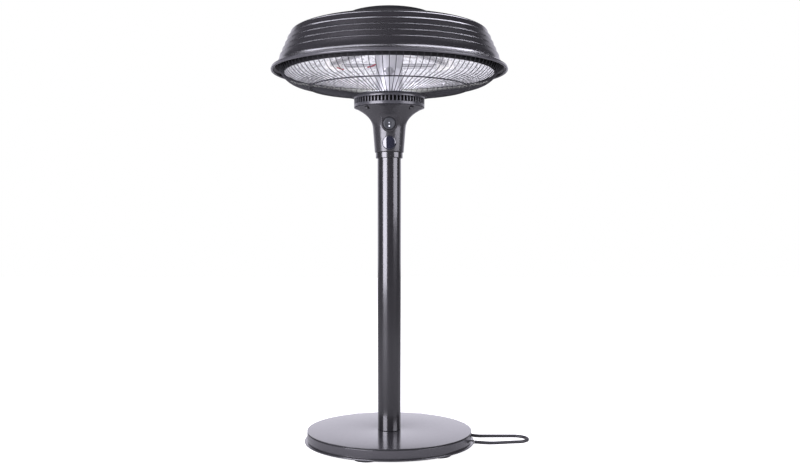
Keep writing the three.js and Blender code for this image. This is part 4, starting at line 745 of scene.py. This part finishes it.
# %% Joining and cutting with booleans
def carved(base, steps):
    """Applies joins and cuts to a mesh, one after another, and returns the result as a new mesh."""
    target = made_of("carved", base)
    tools = []
    for operation, bm in steps:
        tool = made_of("tool", bm)
        tools.append(tool)
        modifier = target.modifiers.new("carve", "BOOLEAN")
        modifier.operation = operation
        modifier.solver = "EXACT"
        modifier.object = tool
    depsgraph = bpy.context.evaluated_depsgraph_get()
    result = bpy.data.meshes.new_from_object(target.evaluated_get(depsgraph))
    for used in (target, *tools):
        bpy.data.objects.remove(used)
    bm = bmesh.new()
    bm.from_mesh(result)
    bpy.data.meshes.remove(result)
    return bm


# %% The cutters and the pad
def rod(radius, start, end, segments):
    """A plain cutter between two points."""
    return tube(bmesh.new(), [start, end], radius, segments)


def pad_mesh():
    """The U-shaped pad, its front edge rounded."""
    outline = [(-PAD_HALF, 20), (PAD_HALF, 20)]
    for i in range(41):
        a = -math.pi * i / 40
        outline.append((PAD_HALF * math.cos(a), PAD_HALF * math.sin(a)))
    bm = bmesh.new()
    levels = [(WELL_FLOOR - 2.2, 0), (PAD_FRONT - 1.1, 0), (PAD_FRONT - 0.5, 0.15), (PAD_FRONT - 0.15, 0.5),
              (PAD_FRONT, 1.1)]
    rings = []
    for front, inset in levels:
        share = 1 - inset / PAD_HALF
        spots = [(x * share * MM, -front * MM, (BUTTON_Z + z * share) * MM) for x, z in outline]
        rings.append([bm.verts.new(spot) for spot in spots])
    stacked(bm, rings)
    bmesh.ops.recalc_face_normals(bm, faces=bm.faces)
    return bm


# %% The neck's wall
heights = [NECK_HEIGHT * i / 46 for i in range(47)]
wall = [(neck_radius(h), NECK_FOOT + h) for h in heights]
inside = [(neck_radius(h) - NECK_WALL, NECK_FOOT + h) for h in heights if h > 4]
profile = rounded([(7, NECK_FOOT, 0), (NECK_FOOT_R, NECK_FOOT, 1.6), (*wall[1], 0)], 0, 5)[:-1] + wall[1:-1]
neck_top = NECK_FOOT + NECK_HEIGHT
profile += [(wall[-1][0], neck_top - 0.8), (wall[-1][0] - 0.8, neck_top), (inside[-1][0], neck_top)]
profile += inside[::-1] + [(inside[0][0], NECK_FOOT + 4), (7, NECK_FOOT + 4)]
trumpet = spun(bmesh.new(), profile, 192)
print("The neck widens from", NECK_FOOT_R, "to", round(neck_radius(NECK_HEIGHT), 1), "mm in radius")

# %% The neck, joined and cut
carving = [
    ("UNION", pad_mesh()),
    ("DIFFERENCE", rod(BUTTON_R + 1.3, (0, -WELL_FLOOR, BUTTON_Z), (0, -70, BUTTON_Z), 96)),
    ("DIFFERENCE", rod(LENS_R + 0.25, (0, -15, LENS_Z), (0, -70, LENS_Z), 96)),
]
POCKET_CIRCLE, POCKET_R, POCKET_TOP = 65, 5.4, 718.6
for index in range(4):
    spin = math.radians(45 + 90 * index)
    x, y = POCKET_CIRCLE * math.cos(spin), POCKET_CIRCLE * math.sin(spin)
    carving.append(("DIFFERENCE", rod(POCKET_R, (x, y, 690), (x, y, POCKET_TOP), 40)))
neck_shell = piece("neck_shell", carved(trumpet, carving), neck_plastic, replaces=["neck_housing"],
                   sharp=28, extra=[painted_shade_black])


# %% Painted shade: black faces in the screw pockets
def in_pocket(centre, normal):
    """Whether a face of the neck is the wall or the floor of a screw pocket, painted black as shade."""
    folded = Vector((abs(centre.x), abs(centre.y)))
    pocket = Vector((POCKET_CIRCLE, POCKET_CIRCLE)) * math.sqrt(0.5)
    return (folded - pocket).length < POCKET_R + 0.02


paint_where(neck_shell, in_pocket)

# %% [markdown]
# ## The button and the receiver's window
#
# The button is turned about its own axis with a soft edge and a slight dish, and rides on its own body with
# its two light windows. The window is a polished disc. A flat disc would stand out of the neck at its sides,
# so its rings are laid on the neck's own round surface.

# %% Turning about the button's axis
FACING_FRONT = Matrix.Rotation(math.pi / 2, 4, "X")


def turned_front(bm, profile, z, steps=96):
    """Spins a profile of (radius, distance from the pole's axis) about a line along Y."""
    part = spun(bmesh.new(), profile, steps)
    return joined(bm, moved(part, Matrix.Translation((0, 0, z * MM)) @ FACING_FRONT))


# %% The button
STEM_R, STEM_END, SPRING_SEAT = 3, 26.9, 38.7
button = bmesh.new()
turned_front(button, rounded([
    (0.05, BUTTON_FRONT - 0.5, 0), (6, BUTTON_FRONT - 0.42, 3), (10.6, BUTTON_FRONT, 1.2),
    (BUTTON_R, BUTTON_FRONT - 0.5, 0.8), (BUTTON_R, BUTTON_BACK, 0.3), (6.2, BUTTON_BACK, 0.2),
    (6.2, SPRING_SEAT, 0.2), (STEM_R, SPRING_SEAT, 0.2), (STEM_R, STEM_END, 0.4), (0.05, STEM_END, 0),
], 0.3, 5), BUTTON_Z)
piece("push_button", button, button_plastic, body="button", replaces=["power_button"])

# %% Its light windows
pip_profile = [(0.02, 41.05, 0), (0.9, 40.95, 0.5), (1.3, 40.5, 0.3), (1.3, 39.6, 0), (0.02, 39.6, 0)]
# The heat light's window glows as a painted glint.
for name, node, rise, window in (("power_pip", "power_light", 1.2, dim_window),
                                 ("heat_pip", "heat_light", -5.5, light_window)):
    pip = bmesh.new()
    turned_front(pip, rounded(pip_profile, 0.2, 4), BUTTON_Z + rise, 32)
    piece(name, pip, window, body="button", replaces=[node])


# %% The receiver's window
def lens_mesh():
    """Rings on the neck's own surface, lower towards the edge, and a wall down to the back."""
    bm = bmesh.new()
    spokes = 96
    drops = [(0.02, 0), (3, 0), (6, 0), (9, 0), (12, 0), (13.2, 0.05), (13.8, 0.2), (14.1, 0.5), (LENS_R, 1)]
    rings = []
    for reach, drop in drops:
        ring = []
        for k in range(spokes):
            a = TURN * k / spokes
            x, z = reach * math.cos(a), LENS_Z + reach * math.sin(a)
            y = math.sqrt(neck_radius(z - NECK_FOOT) ** 2 - x * x) - drop
            ring.append(bm.verts.new((x * MM, -y * MM, z * MM)))
        rings.append(ring)
    rings.append([bm.verts.new((v.co.x, -LENS_BACK * MM, v.co.z)) for v in rings[-1]])
    stacked(bm, rings)
    bmesh.ops.recalc_face_normals(bm, faces=bm.faces)
    return bm


piece("lens_window", lens_mesh(), lens_glass, replaces=["receiver_lens"])

# %% [markdown]
# ## The vent ring
#
# Two rings joined by sixty short bars, and behind them a black band for a gauze that keeps insects out of the
# head, drawn solid and black as painted shade for the dark inside of the head. The slots could be cut by
# booleans, but bars set between two rings are quicker to work out, and each gets its own rounded edges.


# %% The rings and the bars
def about_z(angle):
    """A turn about the heater's axis."""
    return Matrix.Rotation(angle, 4, "Z")


BAR_COUNT, SLOT_WIDTH, SLOT_FOOT, SLOT_TOP = 60, 5, 729.3, 740.1
RING_INNER, SEAT_R = 72, 61.4
lower_ring = [(SEAT_R, VENT_FOOT), (VENT_R, VENT_FOOT), (VENT_R, SLOT_FOOT), (RING_INNER, SLOT_FOOT),
              (RING_INNER, 726.9), (SEAT_R, 726.9)]
upper_ring = [(RING_INNER, SLOT_TOP), (VENT_R, SLOT_TOP), (VENT_R, 743.2), (75.5, 743.4), (75.5, VENT_TOP),
              (RING_INNER, VENT_TOP)]
vent = bmesh.new()
spun(vent, rounded(lower_ring, 0.7, 4), 240)
spun(vent, rounded(upper_ring, 0.5, 4), 240)
bar_half = (TURN * VENT_R / BAR_COUNT - SLOT_WIDTH) / 2
for index in range(BAR_COUNT):
    low, high = (RING_INNER + 0.1, -bar_half, SLOT_FOOT - 0.5), (VENT_R - 0.05, bar_half, SLOT_TOP + 0.5)
    box(vent, low, high, 0.45, 2, about_z(TURN / BAR_COUNT * index))
piece("vent_grille", vent, vent_plastic, replaces=["vent_ring"])

# %% The gauze: a solid black band, partly painted shade behind the slots
gauze = bmesh.new()
spun(gauze, [(70.6, 727.2), (71.4, 727.2), (71.4, 744.6), (70.6, 744.6)], 120)
piece("vent_gauze_and_shade", gauze, gauze_and_shade_black)

# %% [markdown]
# ## The canopy and its cap
#
# One pressed shell: a rolled bead, a flare, four ribs stepped like a stair with soft corners, and a rounded
# crown. The corners' radius sets how thin the highlight along each rib is. The shell has four finishes: the
# outside's paint, black painted shade inside where no light goes, a duller one on the crown as on the cap,
# and a paler one on the bead that is a painted highlight. Painting faces by where they lie keeps it one
# piece, as the pressing is.


# %% Giving a profile a thickness
def sheet_of(profile, thickness):
    """An open profile as a closed loop with a thickness on its left side, as seen along it."""
    points = [Vector(p) for p in profile]
    inner = []
    for i, point in enumerate(points):
        along = points[min(i + 1, len(points) - 1)] - points[max(i - 1, 0)]
        side = Vector((-along.y, along.x)).normalized()
        inner.append(point + side * thickness)
    return [tuple(p) for p in points] + [tuple(p) for p in reversed(inner)]


# %% The flare
FLARE_STEPS, FLARE_LEAN, FLARE_SHORT = 14, 4.9, 1.4
flare = [(RIM_R - 2.8, RIM_Z + 2.4, 0)]
for index in range(FLARE_STEPS):
    share = index / FLARE_STEPS
    lean = FLARE_LEAN * (1 - share)
    sweep = (FLARE_STEP - FLARE_LEAN - FLARE_SHORT) * (1 - share) ** 3.4
    height = RIM_Z + FLARE_FOOT + (RIB_FIRST - FLARE_FOOT) * share
    flare.append((RIM_R - FLARE_STEP + lean + sweep, height, 0 if index else 0.6))

# %% The ribs and the crown
RIB_COUNT, CROWN_STEPS, CROWN_REACH = 4, 30, 126
ribs = []
for index in range(RIB_COUNT):
    r, z = RIM_R - FLARE_STEP - RIB_IN * index, RIM_Z + RIB_FIRST + RIB_PITCH * index
    ribs += [(r, z, 2.6), (r - RIB_LEDGE, z + RIB_LEDGE_RISE, 2.4)]
crown = [(SHOULDER_R, SHOULDER_Z, 1.5)]
for index in range(1, CROWN_STEPS + 1):
    share = (index / CROWN_STEPS) ** 1.6
    crown.append((SHOULDER_R - share * CROWN_REACH, SHOULDER_Z + (CROWN_Z - SHOULDER_Z) * share ** 0.6, 0))

print("The flare, the ribs and the crown have", len(flare + ribs + crown), "points")

# %% The canopy
POST_HOLE_R, SHEET = 5.4, 1.2
shell = rounded(flare + ribs + crown, 0, 6, closed=False)
shell.append((POST_HOLE_R, CROWN_Z + 0.02))
canopy = spun(bmesh.new(), sheet_of(shell, SHEET), 288)
BEAD_R, BEAD_HALF, BEAD_RISE, BEAD_STEPS = 2.3, 2.5, 1.1, 20
bead = []
for index in range(BEAD_STEPS):
    a = TURN * index / BEAD_STEPS
    bead.append((RIM_R - BEAD_R + BEAD_R * math.cos(a), RIM_Z + BEAD_RISE + BEAD_HALF * math.sin(a)))
spun(canopy, bead, 288)
canopy_shell = piece("canopy_shell", canopy, canopy_paint, replaces=["canopy"],
                     sharp=50, extra=[painted_shade_black, cap_paint, bead_painted_sheen])


# %% The canopy's other finishes: painted shade inside, a duller crown, a painted highlight on the bead
def faces_in(centre, normal):
    """Whether a turned shell's face looks at the axis or at the ground."""
    return normal.z + normal.dot(Vector((centre.x, centre.y, 0)).normalized()) < 0


def in_painted_shade(centre, normal):
    """Whether a face of the canopy is inside it, but for the flare's last few millimetres; these are painted
    black as shade.
    """
    return centre.xy.length < RIM_R - 9 and faces_in(centre, normal)


def on_crown(centre, normal):
    """Whether a face is on the crown's outside."""
    return centre.z > SHOULDER_Z + 3 and normal.z > 0.3


def on_bead(centre, normal):
    """Whether a face is on the rolled bead, which gets a paler paint as a painted highlight."""
    return centre.z < RIM_Z + 3.7 and centre.xy.length > RIM_R - 4.7


for number, test in enumerate((in_painted_shade, on_crown, on_bead), start=1):
    paint_where(canopy_shell, test, number)

# %% The cap
CAP_FOOT, CAP_EDGE, CAP_DOME, CAP_STEPS = CROWN_Z + 0.3, 8, 10, 24
cap_profile = [(CAP_R - 1, CAP_FOOT, 0.3), (CAP_R, CAP_FOOT, 0.3), (CAP_R, CAP_FOOT + CAP_EDGE, 1.6)]
for index in range(1, CAP_STEPS + 1):
    share = 1 - index / CAP_STEPS
    cap_profile.append((max(CAP_R * share, 0.1), CAP_FOOT + CAP_EDGE + CAP_DOME * (1 - share ** 2.8), 0))
cap = spun(bmesh.new(), sheet_of(rounded(cap_profile, 0, 4, closed=False), SHEET), 160)
piece("cap_dome", cap, cap_paint, replaces=["top_cap"])

# %% [markdown]
# ## The reflector, the column and the cut-out
#
# A hammered aluminium dish with a rolled edge, on a bright column. The dish's back is black, painted shade
# for the dark gap under the canopy. The hammering could be modelled, but thousands of shallow dimples are
# cheaper as a bump, and look the same from here. The column is spun with few steps, so that it keeps its flat
# faces.
# The cut-out is a small capped can with its two terminals.

# %% The reflector
dish = [(REFLECTOR_R - 1, REFLECTOR_RIM + 0.6), (REFLECTOR_R + 0.4, REFLECTOR_RIM + 0.2),
        (REFLECTOR_R + 1, REFLECTOR_RIM + 1.4)]
DISH_STEPS = 36
for index in range(DISH_STEPS + 1):
    a = math.pi / 2 * index / DISH_STEPS
    dish.append((REFLECTOR_CROWN + (REFLECTOR_R - REFLECTOR_CROWN) * math.cos(a),
                 REFLECTOR_RIM + 1.8 + (REFLECTOR_DEPTH - 1.8) * math.sin(a)))
dish += [(r, REFLECTOR_RIM + REFLECTOR_DEPTH) for r in (90, 50, POST_HOLE_R)]
# Painted shade: the dish is black but for its inner faces, which get the aluminium.
dish_shell = piece("reflector_dish", spun(bmesh.new(), sheet_of(dish, 0.8), 224), painted_shade_black,
                   replaces=["reflector"], sharp=50, extra=[mirror_metal])
paint_where(dish_shell, faces_in)

# %% The column
BRIM_R, COLUMN_BAND_R = 34, COLUMN_R + 0.5
column = bmesh.new()
spun(column, rounded([
    (COLUMN_R - 1, COLUMN_FOOT), (BRIM_R, COLUMN_FOOT), (BRIM_R, COLUMN_FOOT + 1),
    (COLUMN_R + 0.6, COLUMN_FOOT + 1.2, 1), (COLUMN_R, 752, 1), (COLUMN_R, 802.4, 0.3),
    (COLUMN_BAND_R, 802.8, 0.3), (COLUMN_BAND_R, 804.2, 0.3), (COLUMN_R, 804.6, 0.3),
    (COLUMN_R, COLUMN_TOP, 0.6), (POST_HOLE_R, COLUMN_TOP, 0), (POST_HOLE_R, COLUMN_TOP - 2, 0),
    (COLUMN_R - 1, COLUMN_TOP - 2, 0.4),
], 0.3, 3), 24)
piece("column_sleeve", column, column_metal, replaces=["central_column"], sharp=10)

# %% The cut-out
can = [(0.05, 34.4, 0), (5.2, 34.4, 0.6), (5.4, 33.4, 0.3), (8.5, 33.2, 0.8), (8.5, 28.4, 0.4),
       (0.05, 28.4, 0)]
cutout = turned_front(bmesh.new(), rounded(can, 0.4, 4), CUTOUT_Z, 48)
for side in (-1, 1):
    ear, terminal = side * 9.8, side * 3.4
    box(cutout, (ear - 1.8, -30, CUTOUT_Z - 2), (ear + 1.8, -29.1, CUTOUT_Z + 2), 0.25)
    box(cutout, (terminal - 1.4, -37.6, CUTOUT_Z - 3.4), (terminal + 1.4, -34, CUTOUT_Z + 3.4), 0.3)
piece("cutout_can", cutout, cutout_metal, replaces=["thermal_cutout"])

# %% [markdown]
# ## The lamps, their holders and leads
#
# Three quartz tubes in a triangle, each with its filament and pinched ends, in ceramic holders on brackets.
# The red leads show at both ends of a woven white sleeve. One lamp is drawn at the back and turned by a
# third, because three drawn by hand would differ. Wire bends freely, so each lead follows a curve through a
# few points.


# %% A lamp and its filament
def lamp_mesh():
    """A tube along X with flattened ends, drawn about the axis and turned into place."""
    half, body = LAMP_HALF, LAMP_HALF - 10
    profile = [(0.05, -half), (3.4, -half), (3.6, -half + 1), (3.6, -body - 3), (5.2, -body + 1),
               (5.5, -body + 4)]
    profile += [(5.5, x) for x in range(-90, 91, 15)]
    profile += [(r, -z) for r, z in reversed(profile[:6])]
    return spun(bmesh.new(), profile, 48, closed=False)


def filament_mesh():
    """A fine coil along the same axis."""
    points = [(1.1 * math.cos(i * 1.1), 1.1 * math.sin(i * 1.1), -96 + 192 * i / 700) for i in range(701)]
    return tube(bmesh.new(), points, 0.3, 5)


# %% A holder and its bracket
HOLDER_MIDDLE, BRACKET_TOP = 115, 850.9


def holder_mesh(side):
    """A ceramic block with two raised bands, at one end of a lamp."""
    bm = bmesh.new()
    low, high = sorted((side * 104, side * HOLDER_END))
    box(bm, (low, LAMP_OFFSET - 7.5, LAMP_Z - 7.5), (high, LAMP_OFFSET + 7.5, LAMP_Z + 7.5), 1.2, 3)
    for x in (side * HOLDER_MIDDLE - 4, side * HOLDER_MIDDLE + 4):
        box(bm, (x - 1, LAMP_OFFSET - 8, LAMP_Z - 8), (x + 1, LAMP_OFFSET + 8, LAMP_Z + 8), 0.5)
    return bm


def bracket_mesh(side):
    """A strip that hangs from the reflector's crown, with a foot on each end."""
    bm = bmesh.new()
    x = side * HOLDER_MIDDLE
    box(bm, (x - 4, LAMP_OFFSET - 5, LAMP_Z + 6), (x + 4, LAMP_OFFSET - 4, BRACKET_TOP), 0.2)
    box(bm, (x - 4, LAMP_OFFSET - 5, BRACKET_TOP - 1), (x + 4, LAMP_OFFSET + 2, BRACKET_TOP), 0.2)
    box(bm, (x - 4, LAMP_OFFSET - 5, LAMP_Z + 7.3), (x + 4, LAMP_OFFSET + 5, LAMP_Z + 8.3), 0.2)
    return bm


# %% Three lamps in a triangle
ALONG_X = Matrix.Rotation(math.pi / 2, 4, "Y")
lift = Matrix.Translation((0, LAMP_OFFSET * MM, LAMP_Z * MM))
for index in range(3):
    turn = about_z(TURN * index / 3)
    place = turn @ lift @ ALONG_X
    piece(f"lamp_tube_{index + 1}", moved(lamp_mesh(), place), quartz, replaces=[f"lamp_{index + 1}"])
    piece(f"filament_{index + 1}", moved(filament_mesh(), place), filament)
    for number, side in enumerate((-1, 1)):
        name = 2 * index + number + 1
        piece(f"holder_{name}", moved(holder_mesh(side), turn), ceramic, replaces=[f"lamp_holder_{name}"])
        piece(f"holder_bracket_{name}", moved(bracket_mesh(side), turn), mirror_metal)


# %% A curve through points
def smooth_path(points, per_span=8):
    """A curve through points, for what bends freely."""
    points = [Vector(p) for p in points]
    padded = [points[0] * 2 - points[1], *points, points[-1] * 2 - points[-2]]
    path = []
    for i in range(1, len(padded) - 2):
        a, b, c, d = padded[i - 1:i + 3]
        for step in range(per_span):
            t = step / per_span
            bent = (a * 2 - b * 5 + c * 4 - d) * t ** 2 + (b * 3 - a - c * 3 + d) * t ** 3
            path.append((b * 2 + (c - a) * t + bent) / 2)
    return [tuple(p) for p in path] + [tuple(points[-1])]


# %% The lamps' leads
# How far from the axis each lead's white sleeves start and end. The back left lead hangs lower and has two.
LEAD_SLEEVES = (((29.5, 148),), ((50, 113), (127, 150)), ((29.5, 148),))
LEAD_R, SLEEVE_R, LEAD_SIDES = 1.3, 1.75, 12
for index in range(3):
    corner = TURN * index / 3 + math.radians(30)
    turn = about_z(corner)
    core, sleeve = bmesh.new(), bmesh.new()
    end = about_z(math.radians(-30)) @ Vector((HOLDER_END + 0.3, LAMP_OFFSET, LAMP_Z))
    meet = Vector((end.x + 6, 0, LAMP_Z + 10.5))
    sag = 20 if index == 1 else 0
    trunk = smooth_path([meet, (122, 0, LAMP_Z + 11 - sag), (84, 0, LAMP_Z + 10.8 - sag * 1.1),
                         (50, 0, LAMP_Z + 9.2 - sag), (27.5, 0, LAMP_Z + 10.5 - sag * 0.8)])
    tube(core, trunk, LEAD_R, LEAD_SIDES)
    for low, high in LEAD_SLEEVES[index]:
        tube(sleeve, [p for p in trunk if low < p[0] < high], SLEEVE_R, 14)
    out = about_z(math.radians(-30)) @ Vector((1, 0, 0))
    for side in (-1, 1):
        start = Vector((end.x, side * end.y, end.z))
        away = Vector((out.x, side * out.y, 0))
        branch = smooth_path([start, start + away * 3, start + away * 7 + Vector((0, 0, 5)), meet])
        tube(core, branch, LEAD_R, LEAD_SIDES)
    name = index + 1
    piece(f"lead_core_{name}", moved(core, turn), red_silicone, replaces=[f"lamp_lead_{name}"])
    piece(f"lead_sleeve_{name}", moved(sleeve, turn), white_sleeve)

# %% [markdown]
# ## The guard
#
# One wire is swept along its bend and copied round by the spin operator, then three hoops tie the wires
# together, as a spot welder would leave them. A texture with holes could stand in for the wires, but at this
# size each one shows.

# %% The wires
WIRE_COUNT, WIRE_R, HOOP_R, BEND_STEPS = 108, 0.72, 1.6, 16
corner_x = GUARD_TOP_R - GUARD_BEND_R
across, up = corner_x - GUARD_INNER_R, GUARD_BEND_Z - GUARD_INNER_Z
slope = math.atan2(up, across) - math.asin(GUARD_BEND_R / math.hypot(across, up))
first, last = slope - math.pi / 2, math.asin((GUARD_TOP_Z - GUARD_BEND_Z) / GUARD_BEND_R)
wire_path = [(GUARD_INNER_R, 0, GUARD_INNER_Z)]
for i in range(BEND_STEPS + 1):
    a = first + (last - first) * i / BEND_STEPS
    wire_path.append((corner_x + GUARD_BEND_R * math.cos(a), 0, GUARD_BEND_Z + GUARD_BEND_R * math.sin(a)))
guard = tube(bmesh.new(), wire_path, WIRE_R, 10)
bmesh.ops.spin(guard, geom=guard.verts[:] + guard.edges[:] + guard.faces[:], cent=(0, 0, 0), axis=(0, 0, 1),
               angle=TURN * (WIRE_COUNT - 1) / WIRE_COUNT, steps=WIRE_COUNT - 1, use_duplicate=True)
print(WIRE_COUNT, "wires, bent at a radius of", GUARD_BEND_R, "mm")


# %% The hoops
def hoop(bm, r, z, thick):
    """A round wire ring about the axis."""
    angles = [TURN * i / 160 for i in range(160)]
    return tube(bm, [(r * math.cos(a), r * math.sin(a), z) for a in angles], thick, 12, closed=True)


hoop(guard, GUARD_INNER_R, GUARD_INNER_Z, HOOP_R)
mid_z = GUARD_INNER_Z + (GUARD_MID_R - GUARD_INNER_R) * math.tan(slope)
hoop(guard, GUARD_MID_R, mid_z - 2.0, 1.3)
hoop(guard, GUARD_TOP_R, GUARD_TOP_Z, HOOP_R)
piece("guard_wires", guard, wire_paint, replaces=["guard"])

# %% [markdown]
# ## Finishes for the pieces that keep their frame shape
#
# What stays as the frame made it is nearly all hidden in the base, the pole, the neck and the head, where a
# finer shape would show nothing new. It still gets a real surface.

# %% Finishes by name
FINISHES = {
    "base_plate": zinc, "base_weight": cast_iron, "pole_foot_plug": cast_iron, "pole_head_plug": cast_iron,
    "head_floor": zinc, "canopy_post": zinc, "button_spring": zinc, "control_board": board_green,
    "button_switch": black_plastic, "tilt_case": black_plastic, "tilt_pendulum": cast_iron,
    "terminal_block": ceramic, "inner_lead": lead_rubber,
}
for name in nodes:
    if name.startswith(("pole_bolt", "neck_bolt")):
        FINISHES[name] = zinc
    # Painted shade in part: nearly black screws keep the neck's pockets dark.
    if name.startswith("neck_screw"):
        FINISHES[name] = screw_black_and_shade
for name, material in FINISHES.items():
    nodes[name].data.materials.clear()
    nodes[name].data.materials.append(material)
print(len(FINISHES), "pieces keep their frame shape")

# %% [markdown]
# ## The studio
#
# The floor and the surround are white to the camera, and the floor still holds a shadow. In reflections the
# floor is grey and the surround is dark, but for a bright band low behind, which lights the base's top. Two
# tall soft boxes in front draw the two upright streaks on the pole, the left one wider and brighter. Two
# more, above and behind, draw the lines along the canopy's ribs. The surround alone would light the heater
# evenly, and leave dark paint with no form.

# %% The floor
floor_mesh = bmesh.new()
bmesh.ops.create_grid(floor_mesh, x_segments=1, y_segments=1, size=6)
floor = made_of("floor", floor_mesh)
floor_material = bpy.data.materials.new("floor")
floor_material.use_nodes = True
tree = floor_material.node_tree
shader = tree.nodes["Principled BSDF"]
shader.inputs["Roughness"].default_value = 0.9
path = add(tree, "ShaderNodeLightPath").outputs
FLOOR_SHADE, FLOOR_IN_REFLECTIONS, FLOOR_GLOW = 0.8, 0.33, 0.85
grey = add(tree, "ShaderNodeMapRange",
           {"Value": path["Is Glossy Ray"], "To Min": FLOOR_SHADE, "To Max": FLOOR_IN_REFLECTIONS}).outputs[0]
tree.links.new(grey, shader.inputs["Base Color"])
lit = math_node(tree, "MAXIMUM", path["Is Camera Ray"], path["Is Diffuse Ray"])
glow = add(tree, "ShaderNodeEmission",
           {"Color": (1, 1, 1, 1), "Strength": math_node(tree, "MULTIPLY", lit, FLOOR_GLOW)})
both = add(tree, "ShaderNodeAddShader", {0: shader.outputs[0], 1: glow.outputs[0]})
tree.links.new(both.outputs[0], tree.nodes["Material Output"].inputs["Surface"])
floor.data.materials.append(floor_material)
print("The floor's shade is", FLOOR_SHADE, "and in reflections", FLOOR_IN_REFLECTIONS)

# %% The surround
STUDIO_TINT = (0.93, 0.905, 1.03)
world = bpy.data.worlds.new("studio")
world.use_nodes = True
scene.world = world
tree = world.node_tree
path = add(tree, "ShaderNodeLightPath")
seen = math_node(tree, "MAXIMUM", path.outputs["Is Camera Ray"], path.outputs["Is Transmission Ray"])
direction = add(tree, "ShaderNodeTexCoord").outputs["Generated"]
axes = add(tree, "ShaderNodeSeparateXYZ", {0: direction}).outputs
behind = add(tree, "ShaderNodeMapRange", {"Value": axes["Y"], "From Min": 0.3, "From Max": 0.8},
             interpolation_type="SMOOTHSTEP").outputs[0]
low = add(tree, "ShaderNodeMapRange", {"Value": axes["Z"], "From Min": 0.40, "From Max": 0.33},
          interpolation_type="SMOOTHSTEP").outputs[0]
BAND, ELSEWHERE, AROUND = 0.95, 0.07, 0.5
band = math_node(tree, "MULTIPLY", math_node(tree, "MULTIPLY", behind, low), BAND)
horizon = math_node(tree, "ADD", band, ELSEWHERE)
glossy = math_node(tree, "MULTIPLY", path.outputs["Is Glossy Ray"], horizon)
diffuse = math_node(tree, "MULTIPLY", path.outputs["Is Diffuse Ray"], AROUND)
strength = math_node(tree, "MAXIMUM", seen, math_node(tree, "MAXIMUM", glossy, diffuse))
background = tree.nodes["Background"]
tint = add(tree, "ShaderNodeMix", {0: path.outputs["Is Camera Ray"], 6: (*STUDIO_TINT, 1), 7: (1, 1, 1, 1)},
           data_type="RGBA")
tree.links.new(tint.outputs[2], background.inputs["Color"])
world.cycles.sampling_method = "NONE"
tree.links.new(strength, background.inputs["Strength"])
print("In reflections the surround has a strength of", ELSEWHERE, "and", BAND, "more in the band behind")


# %% The soft boxes
def soft_box(name, place, aim, width, tall, radiance):
    """A rectangular lamp that faces a point; its power follows from how bright its face looks."""
    data = bpy.data.lights.new(name, "AREA")
    data.shape = "RECTANGLE"
    data.size = width
    data.size_y = tall
    data.energy = radiance * math.pi * width * tall
    data.color = STUDIO_TINT
    lamp = bpy.data.objects.new(name, data)
    lamp.location = place
    lamp.rotation_euler = (Vector(aim) - Vector(place)).to_track_quat("-Z", "Y").to_euler()
    scene.collection.objects.link(lamp)
    print(name, "is", width, "by", tall, "m")


def beside(azimuth, distance, height):
    """A place round the heater; the azimuth is from the camera's side, positive to the right."""
    a = math.radians(azimuth)
    return distance * math.sin(a), -distance * math.cos(a), height


soft_box("left_box", beside(-43, 2.2, 0.96), (0, 0, 0.96), 1.6, 1.56, 12.5)
soft_box("right_box", beside(62, 2.2, 1.1), (0, 0, 1.1), 1.6, 1.2, 6.5)
soft_box("right_back", (0.68, 0.9, 2.75), (0, -0.2, 0.87), 0.66, 1.5, 9.0)
soft_box("left_back", (-0.68, 0.9, 2.75), (0, -0.2, 0.87), 0.66, 1.5, 5.5)

scene.view_settings.view_transform = "Standard"
